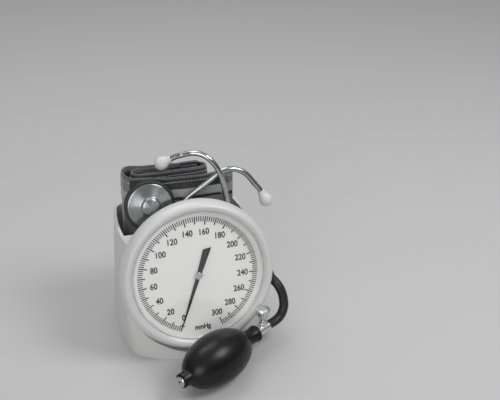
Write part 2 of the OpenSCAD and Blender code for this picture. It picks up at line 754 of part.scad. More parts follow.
// Swept round tube: carries a normal along the points and writes triangles
function tangent(p, i) = unit(p[min(i + 1, len(p) - 1)] - p[max(i - 1, 0)]);
function carried(p, n, i) = i == len(p) ? [] :
  let (t = tangent(p, i), m = unit(n - (n * t) * t)) concat([m], carried(p, m, i + 1));
module swept_tube(p, r, sides, first_normal) {
  n = carried(p, first_normal, 0);
  last = len(p) - 1;
  points = [for (i = [0:last]) let (b = cross(tangent(p, i), n[i])) for (k = [0:sides - 1])
    p[i] + r * (cos(360 * k / sides) * n[i] + sin(360 * k / sides) * b)];
  skin = [for (i = [0:last - 1], k = [0:sides - 1]) let (
    a = i * sides + k,
    b = i * sides + (k + 1) % sides,
    c = a + sides,
    d = b + sides
  ) each [[a, c, b], [b, c, d]]];
  start_cap = [for (k = [1:sides - 2]) [0, k, k + 1]];
  end_cap = [for (k = [1:sides - 2]) [last * sides, last * sides + k + 1, last * sides + k]];
  polyhedron(points, concat(skin, start_cap, end_cap), convexity = 6);
}

// Smooth curve through points, with even steps between each pair
function through(p, steps) = [for (i = [0:len(p) - 2], s = [0:steps - 1]) let (
    t = s / steps,
    a = p[max(i - 1, 0)],
    b = p[i],
    c = p[i + 1],
    d = p[min(i + 2, len(p) - 1)]
  ) 0.5 * (2 * b + (c - a) * t + (2 * a - 5 * b + 4 * c - d) * t * t + (3 * b - a - 3 * c + d) * t * t * t),
  p[len(p) - 1]];

// Bulb: its own axis runs along local +Z towards the valve
bulb_r = bulb_d / 2;
bulb_half = bulb_len / 2;
bulb_pos = [2.4, dial_y - 51.2, bulb_r];
left_neck_r = 6.6;
right_neck_r = 7.2;
left_neck_end = -bulb_half - 6.5;
right_neck_end = bulb_half + 13;
neck_bore = 4.2;
module at_bulb() {
  translate(bulb_pos) rotate([0, 0, bulb_turn]) rotate([0, 90, 0]) children();
}
function egg(half, r, s) = r * sqrt(max(0, 1 - pow(s / half, 2)));
function egg_at(half, r, rr) = half * sqrt(1 - pow(rr / r, 2));
module bulb() {
  n = 22;
  ih = bulb_half - bulb_wall;
  ir = bulb_r - bulb_wall;
  o0 = -egg_at(bulb_half, bulb_r, left_neck_r + 0.6);
  o1 = egg_at(bulb_half, bulb_r, right_neck_r + 0.6);
  i0 = -egg_at(ih, ir, neck_bore);
  i1 = egg_at(ih, ir, neck_bore);
  outer = [for (i = [0:n]) let (s = o0 + (o1 - o0) * (1 - cos(180 * i / n)) / 2)
    [egg(bulb_half, bulb_r, s), s]];
  inner = [for (i = [n:-1:0]) let (s = i0 + (i1 - i0) * (1 - cos(180 * i / n)) / 2) [egg(ih, ir, s), s]];
  color([0.08, 0.08, 0.08]) at_bulb() rotate_extrude($fn = 96) polygon(concat(
    [[neck_bore, left_neck_end], [left_neck_r - 0.6, left_neck_end], [left_neck_r, left_neck_end + 0.6],
      [left_neck_r, o0 - 1]], outer,
    [[right_neck_r, o1 + 1.4], [right_neck_r, right_neck_end - 3], [right_neck_r + 0.7, right_neck_end - 2.4],
      [right_neck_r + 0.7, right_neck_end - 0.6], [right_neck_r, right_neck_end],
      [neck_bore, right_neck_end]], inner
  ));
}

// Inlet fitting: flanged plug with a ball that lets air in only
ball_r = 1.8;
seat_r = 1.1;
chamber_s = left_neck_end + 2.6;
chamber_len = 4.4;
module inlet_valve() {
  color("silver") at_bulb() rotate_extrude($fn = 48) polygon([
    [seat_r, left_neck_end - 1.5], [4.6, left_neck_end - 1.5], [5, left_neck_end - 1.1], [5, left_neck_end],
    [neck_bore - 0.05, left_neck_end], [neck_bore - 0.05, chamber_s + chamber_len + 0.8],
    [1, chamber_s + chamber_len + 0.8],
    [1, chamber_s + chamber_len], [2.4, chamber_s + chamber_len], [2.4, chamber_s], [seat_r, chamber_s]
  ]);
}

module inlet_ball() {
  seat = sqrt(ball_r * ball_r - seat_r * seat_r) + 0.04;
  color("white") at_bulb() translate([0, 0, chamber_s + seat]) sphere(ball_r, $fn = 48);
}

// Release valve: chrome body in line with the hose, with a knurled screw standing on it
valve_r = valve_d / 2;
valve_end = right_neck_end + 16;
screw_s = right_neck_end + 9;
barb_len = 8;
boss_h = 7;
stem_r = 2;
module valve_body() {
  color("silver") at_bulb() difference() {
    union() {
      rotate_extrude($fn = 64) polygon([
        [0, right_neck_end - 10], [neck_bore - 0.05, right_neck_end - 10], [neck_bore - 0.05, right_neck_end],
        [valve_r - 0.5, right_neck_end], [valve_r, right_neck_end + 0.5], [valve_r, valve_end - 0.5],
        [valve_r - 0.5, valve_end], [3, valve_end], [3.4, valve_end + 1], [2.6, valve_end + barb_len - 0.6],
        [2.2, valve_end + barb_len], [0, valve_end + barb_len]
      ]);
      translate([-boss_h, 0, screw_s]) rotate([0, 90, 0]) cylinder(r = 3.7, h = boss_h, $fn = 48);
    }
    translate([0, 0, right_neck_end - 11])
      cylinder(r = 1.5, h = valve_end + barb_len - right_neck_end + 13, $fn = 24);
    translate([0, 0, right_neck_end - 9]) cylinder(r = 3.2, h = 3, $fn = 32);
    translate([-boss_h - 1, 0, screw_s]) rotate([0, 90, 0])
      cylinder(r = stem_r + run_gap, h = boss_h - 0.6, $fn = 32);
    translate([-boss_h, 0, screw_s]) rotate([0, 90, 0]) cylinder(r = 0.7, h = boss_h, $fn = 24);
  }
}

module outlet_disc() {
  color("dimgray") at_bulb() translate([0, 0, right_neck_end - 8.95]) cylinder(r = 2.9, h = 0.6, $fn = 48);
}

module valve_gland() {
  color("silver") at_bulb() translate([-boss_h, 0, screw_s]) rotate([0, -90, 0]) difference() {
    cylinder(r = 3.2, h = 1.6, $fn = 6);
    translate([0, 0, -1]) cylinder(r = stem_r + run_gap, h = 4, $fn = 32);
  }
}

// Thumb screw: needle, stem, fluted cone and a wide domed top
flutes = 24;
module valve_screw() {
  r = knob_d / 2;
  cone_h = boss_h + 3.4;
  cap_at = cone_h + 6.6;
  color("silver") at_bulb() translate([0, 0, screw_s]) rotate([0, -90, 0]) difference() {
    rotate_extrude($fn = 72) polygon([
      [0, 1.7], [0.7, 2.6], [stem_r, 3.6], [stem_r, boss_h + 2], [1.7, boss_h + 2.4], [1.7, cone_h],
      [2.6, cone_h + 0.6], [r - 0.8, cap_at - 0.6], [r, cap_at], [r, cap_at + 4], [r - 0.7, cap_at + 5],
      [r - 2, cap_at + 5.7], [0, cap_at + 6.2]
    ]);
    for (k = [0:flutes - 1]) rotate([0, 0, 360 * k / flutes]) translate([r + 0.25, 0, cap_at - 0.4])
      cylinder(r = 0.6, h = 4.6, $fn = 16);
  }
}

// Hose from the elbow's barb round to the release valve. Each point of its line is a share of the way between
// these two ends and a bow off that straight way.
elbow_corner = dial_point([elbow_x, port_v, port_h]);
leg_dir = dial_dir([0, -sin(elbow_dip), cos(elbow_dip)]);
hose_start = elbow_corner + 0.37 * elbow_leg * leg_dir;
hose_end = bulb_pos + (valve_end + 0.3) * [cos(bulb_turn), sin(bulb_turn), 0];
hose_bow = [
  [0, [0, 0, 0]], [0, [0, -4.9, -0.9]], [0.08, [1, -6, 1.2]], [0.17, [3, -6.4, 3.6]], [0.27, [6.3, -6, 5]],
  [0.37, [9.7, -5.3, 4.5]], [0.47, [12.6, -3.9, 2.7]], [0.57, [14.5, -2.2, 0.3]], [0.67, [15.3, -0.4, -1.7]],
  [0.76, [14.2, 0.8, -3.3]], [0.85, [11.6, 1.8, -3.5]], [0.93, [8.3, 2.6, -2.2]], [1, [4.6, 2.7, 0]],
  [1, [0, 0, 0]]
];
hose_route = [for (b = hose_bow) hose_start * (1 - b[0]) + hose_end * b[0] + b[1]];
module hose() {
  color("black") swept_tube(through(hose_route, 2), hose_d / 2, 12, [1, 0, 0]);
}

// Folded cuff: one band, rolled round the left end and standing on its edge
cuff_x = [-44.5, 52];
cuff_front = basket_y + 23;
cuff_mid = cuff_front + cuff_t / 2;
cuff_z = floor_t + 0.3;
cuff_top = cuff_z + cuff_w;
left_fold = 2.5 * cuff_t;
module cuff_place() {
  translate([0, 0, cuff_z]) children();
}
function fold(c, rx, ry, a0, a1, n) = [
  for (i = [0:n]) let (a = a0 + (a1 - a0) * i / n) c + [rx * cos(a), ry * sin(a)]
];
back_line = cuff_mid + 2 * left_fold;
roll_y = back_line - 1.72 * cuff_t;
roll_r = 1.06 * cuff_t;
tail_r = 1.32 * cuff_t;
roll_x = [cuff_x[0] + 10.5, cuff_x[1] - 28];
cuff_path = concat(
  [[cuff_x[1], cuff_mid]],
  fold([cuff_x[0] + 4, cuff_mid + left_fold], 9, left_fold, 270, 90, 12),
  [[roll_x[1], roll_y]],
  fold([roll_x[1], roll_y - roll_r], roll_r, roll_r, 85, -90, 8),
  fold([roll_x[0], roll_y - 2 * roll_r + tail_r], tail_r, tail_r, 270, 98, 8),
  [[roll_x[0] + 29, roll_y - 1.8]]
);
function edge(p, off) = [for (i = [0:len(p) - 1]) let (t = tangent(p, i)) p[i] + off * [-t.y, t.x]];
pocket = [-40, 20];
pocket_t = 2.2;
module cuff() {
  left = edge(cuff_path, cuff_t / 2);
  right = edge(cuff_path, -cuff_t / 2);
  color([0.25, 0.25, 0.26]) cuff_place() difference() {
    linear_extrude(cuff_w) polygon(concat(left, [for (i = [len(right) - 1:-1:0]) right[i]]));
    translate([pocket[0], cuff_mid - pocket_t / 2, -1]) cube([pocket[1] - pocket[0], pocket_t, cuff_w - 17]);
  }
}

module cuff_bladder() {
  color("dimgray") cuff_place() translate([pocket[0] + 1, cuff_mid + 0.8, 16]) rotate([90, 0, 0])
    linear_extrude(1.6) offset(r = 6, $fn = 24) offset(delta = -6)
      square([pocket[1] - pocket[0] - 2, cuff_w - 36]);
}

band_z = 123;
band_h = 8;
module cuff_range_band() {
  color("lightgray") cuff_place() translate([cuff_x[0] + 4, cuff_front - 0.4, band_z])
    cube([cuff_x[1] - cuff_x[0] - 4, 0.4, band_h]);
}

// D-ring: a round wire loop lying in the roll, its top just above the fabric
module d_ring() {
  w = 21;
  h = cuff_w + 3.2 - d_ring_wire;
  c = 4;
  y = roll_y - 4.6;
  r = d_ring_wire / 2;
  color("silver") cuff_place() translate([1.5, y, r]) {
    for (x = [0, w]) translate([x, 0, c]) cylinder(r = r, h = h - 2 * c, $fn = 24);
    for (z = [0, h]) translate([c, 0, z]) rotate([0, 90, 0]) cylinder(r = r, h = w - 2 * c, $fn = 24);
    for (q = [[c, c, 180], [w - c, c, 270], [w - c, h - c, 0], [c, h - c, 90]])
      translate([q.x, 0, q.y]) rotate([90, 0, 0]) rotate([0, 0, q.z])
        rotate_extrude(angle = 90, $fn = 32) translate([c, 0]) circle(r, $fn = 24);
  }
}

// Chest piece, leaning back against the folded cuff
tray_y = basket_y - 39;
chest_pos = [-30, tray_y + 51.5, cuff_top - 25];
chest_lean = 12;
chest_r = chest_d / 2;
module at_chest() {
  translate(chest_pos) rotate([90 - chest_lean, 0, 0]) children();
}

module chest_piece() {
  color("silver") at_chest() difference() {
    rotate_extrude($fn = 96) polygon([
      [0, -4], [chest_r - 2.4, -4], [chest_r - 2.4, -1.2], [chest_r - 3.4, 0.2], [8.5, 1.9], [7.2, 2.4],
      [6.8, 4.6],
      [6.2, 5.2], [0, 5.6]
    ]);
    rotate([90, 0, 0]) cylinder(r = 1.5, h = chest_r, $fn = 24);
    translate([0, 0, -5]) cylinder(r = 1.5, h = 5, $fn = 24);
    translate([0, -chest_r + 8, 0]) rotate([90, 0, 0]) cylinder(r = 2.3, h = 8, $fn = 24);
  }
}

module chest_rim() {
  color([0.1, 0.1, 0.1]) at_chest() difference() {
    rotate_extrude($fn = 96) polygon([
      [chest_r - 3.2, -5.4], [chest_r - 0.6, -5.4], [chest_r, -4.8], [chest_r, -1.6], [chest_r - 0.6, -0.9],
      [chest_r - 2.35, -0.9], [chest_r - 2.35, -4.6], [chest_r - 3.2, -4.6]
    ]);
    translate([0, -chest_r + 5, 0]) rotate([90, 0, 0]) cylinder(r = 2.5, h = 8, $fn = 24);
  }
}

module chest_diaphragm() {
  color("lightgray") at_chest() translate([0, 0, -4.5]) cylinder(r = chest_r - 2.5, h = 0.4, $fn = 96);
}

stem_out = chest_r + 7;
module chest_stem() {
  color("silver") at_chest() rotate([90, 0, 0]) difference() {
    union() {
      translate([0, 0, chest_r - 7.8]) cylinder(r = 2.2, h = stem_out - chest_r + 7.8, $fn = 32);
      translate([0, 0, chest_r + 0.4]) cylinder(r = 3.2, h = 1.6, $fn = 32);
    }
    translate([0, 0, chest_r - 9]) cylinder(r = 1.3, h = 20, $fn = 24);
  }
}

// Binaural tubes, crossed as they are put away: the one whose base is on the right reaches to the left
socket_z = rim_z + 6;
left_pivot = [41, tray_y + 47.5, socket_z];
right_pivot = [-1, tray_y + 54, socket_z];
ball_end_r = 3.2;
// Heights are above the socket, and grow with the cuff that the tubes reach over
rise = (cuff_top - socket_z) / 38.3;
left_route = [
  [41, 47.5, 0], [41, 47.5, 8], [39.8, 47.5, 17.6], [37.6, 47.6, 28.4], [34.6, 48.4, 38.7], [30.6, 50, 47],
  [25, 52.6, 53.5], [18.6, 56, 56.8], [12, 59.2, 57.2], [6.2, 62.4, 55.4], [-1.2, 66, 52.6], [-8.4, 68.9, 48.6]
];
right_route = [
  [-1, 54, 0], [-0.6, 54, 6], [2.6, 54, 12.4], [8, 54, 17.4], [17.4, 54, 24], [24.8, 54, 28.8],
  [32.4, 54, 34.2], [39.6, 54, 38.2], [47.2, 54, 38.6], [54.4, 53.6, 36.8], [61.6, 52.5, 31.8],
  [68.4, 50.8, 22.8], [73.4, 49.2, 16.2], [75.6, 48.3, 12]
];
function over_cuff(p) = [for (q = p) [q.x, q.y + tray_y, socket_z + rise * q.z]];
function below_socket(p) = [for (q = p) [q.x, q.y + tray_y, socket_z + q.z]];
module binaural(route, pivot) {
  difference() {
    union() {
      swept_tube(through(over_cuff(route), 3), binaural_d / 2, 12, [0, 1, 0]);
      translate(pivot) sphere(ball_end_r, $fn = 48);
    }
    translate(pivot - [0, 0, 6]) cylinder(r = 1.3, h = 9, $fn = 24);
  }
}

module left_binaural() {
  color("silver") binaural(left_route, left_pivot);
}

module right_binaural() {
  color("silver") binaural(right_route, right_pivot);
}

// Ear tip: a soft mushroom pushed over the end of its tube
module ear_tip_on(route) {
  p = over_cuff(route);
  last = len(p) - 1;
  v = unit(p[last] - p[last - 1]);
  color([0.93, 0.93, 0.9]) translate(p[last]) rotate([0, acos(v.z), atan2(v.y, v.x)]) difference() {
    translate([0, 0, -3.4]) rotate_extrude($fn = 48) polygon(concat(
      [[0, 0], [3.4, 0], [3.7, 1.4], [4.2, 3]],
      [for (a = [-35:12.5:90]) [6.4 * cos(a), 9.2 + 7.8 * sin(a)]],
      [[0, 17]]
    ));
    translate([0, 0, -4]) cylinder(r = binaural_d / 2 + 0.1, h = 4, $fn = 32);
    translate([0, 0, -1]) cylinder(r = 1.2, h = 19, $fn = 24);
  }
}

module left_ear_tip() {
  ear_tip_on(left_route);
}

module right_ear_tip() {
  ear_tip_on(right_route);
}

// Sockets at the ends of the Y, each a cup around the ball end of its tube
socket_r = 5;
module binaural_sockets() {
  color([0.12, 0.12, 0.13]) for (p = [left_pivot, right_pivot]) translate(p) difference() {
    translate([0, 0, socket_foot]) cylinder(r = socket_r, h = 1.2 - socket_foot, $fn = 48);
    sphere(ball_end_r + run_gap + 0.03, $fn = 48);
    translate([0, 0, 0]) cylinder(r1 = 3.2, r2 = 6.4, h = 3.4, $fn = 48);
    translate([0, 0, -6]) cylinder(r = 1.4, h = 4, $fn = 24);
  }
}

// Flat spring that holds the two sockets apart: a clip round each and a bowed strip between them
spring_strip = 0.8;
spring_h = 5;
module leaf_spring() {
  z = left_pivot.z - 5;
  near = [left_pivot.x, left_pivot.y];
  far = [right_pivot.x, right_pivot.y];
  mid = (near + far) / 2 + [0.5, -3.2];
  v = unit(near - mid);
  w = unit(far - mid);
  color("silver") translate([0, 0, z]) difference() {
    union() {
      for (p = [near, far]) translate([p.x, p.y, 0])
        cylinder(r = socket_r + 0.05 + spring_strip, h = spring_h, $fn = 48);
      linear_extrude(spring_h) polygon([
        mid + [0, -spring_strip], near - (socket_r + 0.5) * v + [0, -spring_strip],
        near - (socket_r + 0.5) * v,
        mid, far - (socket_r + 0.5) * w, far - (socket_r + 0.5) * w + [0, -spring_strip]
      ]);
    }
    for (p = [near, far]) translate([p.x, p.y, -1]) cylinder(r = socket_r + 0.05, h = spring_h + 2, $fn = 48);
  }
}

// Rubber tubing: two branches, the Y, the put-away coil and the run up to the chest piece.
// The coil climbs from its front layer to its back one before it passes its own start.
coil_c = [-6, floor_t + coil_r + tubing_d / 2 + 0.4];
layer_y = [45.8, 46.8 + tubing_d];
climb = [0.7, 1];
coil_turns = 1.58;
rings_a_turn = 24;
coil_start = 30;
function climbed(f) = min(1, max(0, (f - climb[0]) / (climb[1] - climb[0])));
function layer_at(f) = layer_y[0] + (layer_y[1] - layer_y[0]) * climbed(f);
coil = [for (i = [0:floor(coil_turns * rings_a_turn)])
  let (f = i / rings_a_turn, a = coil_start - 360 * f)
  [coil_c.x + coil_r * cos(a), tray_y + layer_at(f), coil_c.y + coil_r * sin(a)]];
chest_end = chest_pos + (stem_out - 5) * [0, -sin(chest_lean), -cos(chest_lean)];
lead_in = below_socket([[36, 46.4, -18], [35, 46, -28], [31.4, 45.8, -38.4]]);
lead_up = [
  [-38, 54.8, 0.6], [-37.6, 54.8, 10.6], [-36, 54.8, 20.6], [-33, 54, 30.6], [-29.4, 51.4, 40], [-26, 48, 48]
];
lead_out = [for (q = lead_up) [coil_c.x + q.x, tray_y + q.y, coil_c.y + q.z]];
tubing_path = concat(lead_in, coil, lead_out, [chest_end]);
socket_foot = -5.4;
left_foot = left_pivot + [0, 0, socket_foot];
right_foot = right_pivot + [0, 0, socket_foot];
branch_run = [
  [0.6, 52.6, -14], [5.6, 50.4, -17.4], [12, 48, -19.6], [22, 46.6, -21], [30, 46, -25], [33.4, 46, -31]
];
stalk_run = [[39, 47, -13.4], [36, 46.4, -18], [35, 46, -28]];
branch_path = concat([right_foot], through(concat([right_foot - [0, 0, 3]], below_socket(branch_run)), 2));
stalk_path = concat([left_foot, left_foot - [0, 0, 3]], below_socket(stalk_run));
echo(tubing_least_gap_mm = min([for (i = [0:len(tubing_path) - 1], j = [i + 8:1:len(tubing_path) - 1])
  norm(tubing_path[i] - tubing_path[j])]) - tubing_d);
module steth_tubing() {
  color([0.12, 0.12, 0.13]) {
    swept_tube(tubing_path, tubing_d / 2, 6, [0, 1, 0]);
    swept_tube(branch_path, tubing_d / 2 - 0.4, 8, [0, 1, 0]);
    swept_tube(stalk_path, tubing_d / 2 - 0.4, 8, [0, 1, 0]);
  }
}

housing();
base_plate();
rubber_feet();
base_screws();
bezel_ring();
lens();
spacer_ring();
dial_plate();
gauge_case();
case_screws();
pressure_base();
movement_screws();
capsule();
capsule_pusher();
lower_posts();
lower_plate();
upper_pillars();
upper_plate();
plate_screws();
rocker_bearings();
rocker_shaft();
sector_gear();
pinion_arbor();
hairspring();
hairspring_stud();
pointer();
pointer_cap();
inlet_elbow();
elbow_nut();
cuff_port();
hose();
bulb();
inlet_valve();
inlet_ball();
valve_body();
outlet_disc();
valve_gland();
valve_screw();
cuff();
cuff_bladder();
cuff_range_band();
d_ring();
chest_piece();
chest_rim();
chest_diaphragm();
chest_stem();
steth_tubing();
binaural_sockets();
leaf_spring();
left_binaural();
right_binaural();
left_ear_tip();
right_ear_tip();
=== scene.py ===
"""Looks for the desk aneroid sphygmomanometer.

Every solid gets a finish, and the soft and fine pieces are built here as meshes.
"""

import math

import bmesh
import bpy
import numpy as np
from mathutils import Matrix, Vector


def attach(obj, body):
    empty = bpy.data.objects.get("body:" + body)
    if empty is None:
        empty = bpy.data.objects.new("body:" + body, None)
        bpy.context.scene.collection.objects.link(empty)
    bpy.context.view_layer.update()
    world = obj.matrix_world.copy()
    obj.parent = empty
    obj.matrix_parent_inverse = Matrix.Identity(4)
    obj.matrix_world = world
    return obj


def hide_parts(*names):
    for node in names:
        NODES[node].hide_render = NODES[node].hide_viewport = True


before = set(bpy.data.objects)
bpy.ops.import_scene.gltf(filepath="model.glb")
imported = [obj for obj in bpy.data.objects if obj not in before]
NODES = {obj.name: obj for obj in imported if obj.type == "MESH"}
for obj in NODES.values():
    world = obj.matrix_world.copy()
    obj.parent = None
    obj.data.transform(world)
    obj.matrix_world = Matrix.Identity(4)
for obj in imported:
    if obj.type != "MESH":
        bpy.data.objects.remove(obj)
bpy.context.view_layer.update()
SCENE = bpy.context.scene
MM = 0.001

# Main sizes, repeated from part.scad in millimetres
TILT = math.radians(10)
DIAL_Y = -44.5
LIP_R = 60.2
RING_W = 9.8
RING_R = LIP_R + RING_W
DIAL_Z = RING_R * math.cos(TILT) + 8.5
SCALE_D = 110.0
SPAN = 318.0
BULB_LEN, BULB_D, BULB_TURN = 74.0, 45.8, 29.7
BULB_POS = (2.4, DIAL_Y - 51.2, BULB_D / 2)
CUFF_W, CUFF_T, CUFF_Z = 147.0, 5.0, 3.3
CUFF_X = (-44.5, 52.0)
CUFF_FRONT = DIAL_Y + 62
CHEST_POS = (-30.0, DIAL_Y + 51.5, 125.3)
CHEST_R = 23.5
CHEST_LEAN = math.radians(12)
BASE_W = 133
HOSE_R, TUBING_R, BRANCH_R = 4.3, 4.0, 3.6


# Frames and mesh helpers
def placed_frame(origin, ex, ey, ez):
    return np.array(origin, float), np.array([ex, ey, ez], float)


def put(fr, pts):
    """Points of a local frame as row-frame millimetres."""
    o, axes = fr
    return o + np.asarray(pts, float).reshape(-1, 3) @ axes


def tilted(origin, angle):
    s, c = math.sin(angle), math.cos(angle)
    return placed_frame(origin, (1, 0, 0), (0, s, c), (0, -c, s))


DIAL = tilted((0, DIAL_Y, DIAL_Z), TILT)
CHEST = tilted(CHEST_POS, CHEST_LEAN)
_c, _s = math.cos(math.radians(BULB_TURN)), math.sin(math.radians(BULB_TURN))
BULB = placed_frame(BULB_POS, (0, 0, -1), (-_s, _c, 0), (_c, _s, 0))


def axis_frame(origin, direction):
    ez = np.array(direction, float) / np.linalg.norm(direction)
    ex = np.cross((0, 1, 0), ez)
    ex /= np.linalg.norm(ex)
    return placed_frame(origin, ex, np.cross(ez, ex), ez)


def make(name, pts, faces, mat, body="stand", smooth=True, sharp=None, uv=None, mats=None,
         face_mats=None):
    """A mesh piece from points in row-frame millimetres."""
    me = bpy.data.meshes.new(name)
    co = np.asarray(pts, float).reshape(-1, 3) * MM
    me.from_pydata(co.tolist(), [], [list(map(int, f)) for f in faces])
    me.polygons.foreach_set("use_smooth", [smooth] * len(me.polygons))
    if uv is not None:
        layer = me.uv_layers.new(name="UVMap")
        flat = np.asarray(uv, float)
        if len(uv) == len(pts):
            flat = flat[[v for f in faces for v in f]]
        layer.data.foreach_set("uv", flat.astype(np.float32).ravel())
    me.validate()
    me.update()
    if sharp is not None and smooth:
        me.set_sharp_from_angle(angle=math.radians(sharp))
    for m in mats or [mat]:
        me.materials.append(m)
    if face_mats is not None:
        me.polygons.foreach_set("material_index", list(face_mats))
    ob = bpy.data.objects.new(name, me)
    SCENE.collection.objects.link(ob)
    if body:
        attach(ob, body)
    return ob


def lathe_data(profile, segs, closed=False, angles=None, swell=None):
    """Local points and faces of a turned form; profile is (radius, height) pairs. UV: around, along."""
    ang = np.linspace(0, 2 * math.pi, segs, endpoint=False) if angles is None else np.asarray(angles)
    n = len(ang)
    pts, idx = [], []
    for r, h in profile:
        if r < 1e-6:
            idx.append([len(pts)] * n)
            pts.append((0, 0, h))
        else:
            idx.append(list(range(len(pts), len(pts) + n)))
            for a in ang:
                rr = r + (swell(a, h, r) if swell else 0)
                pts.append((rr * math.cos(a), rr * math.sin(a), h))
    faces, uv = [], []
    rows = len(profile)
    runs = [0.0]
    for k in range(1, rows):
        (r0, h0), (r1, h1) = profile[k - 1], profile[k]
        runs.append(runs[-1] + math.hypot(r1 - r0, h1 - h0))
    last = rows if closed else rows - 1
    for k in range(last):
        a, b = idx[k], idx[(k + 1) % rows]
        va, vb = runs[k], runs[k + 1] if k + 1 < rows else runs[-1] + 1
        for i in range(n):
            j = (i + 1) % n
            ua, ub = i / n, (i + 1) / n
            quad = [(a[i], ua, va), (a[j], ub, va), (b[j], ub, vb), (b[i], ua, vb)]
            seen, keep = set(), []
            for q in quad:
                if q[0] not in seen:
                    seen.add(q[0])
                    keep.append(q)
            if len(keep) > 2:
                faces.append([q[0] for q in keep])
                uv.extend((q[1], q[2] * 0.01) for q in keep)
    return np.array(pts), faces, uv


def lathe(name, fr, profile, mat, segs=96, closed=True, sharp=35, body="stand", swell=None,
          angles=None, uv=False):
    pts, faces, coords = lathe_data(profile, segs, closed, angles, swell)
    return make(name, put(fr, pts), faces, mat, body, sharp=sharp, uv=coords if uv else None)


def catmull(p, steps):
    p = np.asarray(p, float)
    out = []
    for i in range(len(p) - 1):
        a, b, c, d = p[max(i - 1, 0)], p[i], p[i + 1], p[min(i + 2, len(p) - 1)]
        for s in range(steps):
            t = s / steps
            square, cube = 2 * a - 5 * b + 4 * c - d, 3 * b - a - 3 * c + d
            out.append(0.5 * (2 * b + (c - a) * t + square * t * t + cube * t**3))
    out.append(p[-1])
    return np.array(out)


def even(path, step):
    """The same line with points an even step apart."""
    path = np.asarray(path, float)
    s = np.concatenate([[0], np.cumsum(np.linalg.norm(np.diff(path, axis=0), axis=1))])
    n = max(2, int(round(s[-1] / step)) + 1)
    t = np.linspace(0, s[-1], n)
    return np.stack([np.interp(t, s, path[:, k]) for k in range(3)], 1)


def length_of(path):
    return float(np.linalg.norm(np.diff(np.asarray(path, float), axis=0), axis=1).sum())


def frames_along(path, normal):
    t = np.gradient(path, axis=0)
    t /= np.linalg.norm(t, axis=1)[:, None]
    n = np.array(normal, float)
    ns = []
    for k in range(len(path)):
        n = n - (n @ t[k]) * t[k]
        n /= np.linalg.norm(n)
        ns.append(n)
    ns = np.array(ns)
    return t, ns, np.cross(t, ns)


def sweep_data(path, radii, sides, normal=(0, 0, 1), bore=0.0, depth=0.0):
    """A round tube along a path, its ends closed or sunk to a short bore."""
    path = np.asarray(path, float)
    t, n, b = frames_along(path, normal)
    r = np.broadcast_to(np.asarray(radii, float), (len(path),))
    rings = [(path[k], n[k], b[k], r[k]) for k in range(len(path))]
    if bore:
        rings.insert(0, (path[0] + t[0] * depth, n[0], b[0], bore))
        rings.insert(1, (path[0], n[0], b[0], bore))
        rings.append((path[-1], n[-1], b[-1], bore))
        rings.append((path[-1] - t[-1] * depth, n[-1], b[-1], bore))
    around = np.linspace(0, 2 * math.pi, sides, endpoint=False)
    pts = [o + rr * (math.cos(a) * nn + math.sin(a) * bb) for o, nn, bb, rr in rings for a in around]
    faces = []
    for k in range(len(rings) - 1):
        for i in range(sides):
            j = (i + 1) % sides
            faces.append([k * sides + i, k * sides + j, (k + 1) * sides + j, (k + 1) * sides + i])
    last = (len(rings) - 1) * sides
    faces.append(list(range(sides))[::-1])
    faces.append([last + i for i in range(sides)])
    return np.array(pts), faces


def sweep(name, path, radii, mat, sides=24, body="stand", slot=None, sharp=40, **kw):
    pts, faces = sweep_data(path, radii, sides, **kw)
    return make(name, pts, faces, mat, body, sharp=sharp)


def join_data(parts):
    pts, faces, n = [], [], 0
    for p, f in parts:
        pts.append(np.asarray(p, float).reshape(-1, 3))
        faces += [[v + n for v in face] for face in f]
        n += len(pts[-1])
    return np.vstack(pts), faces


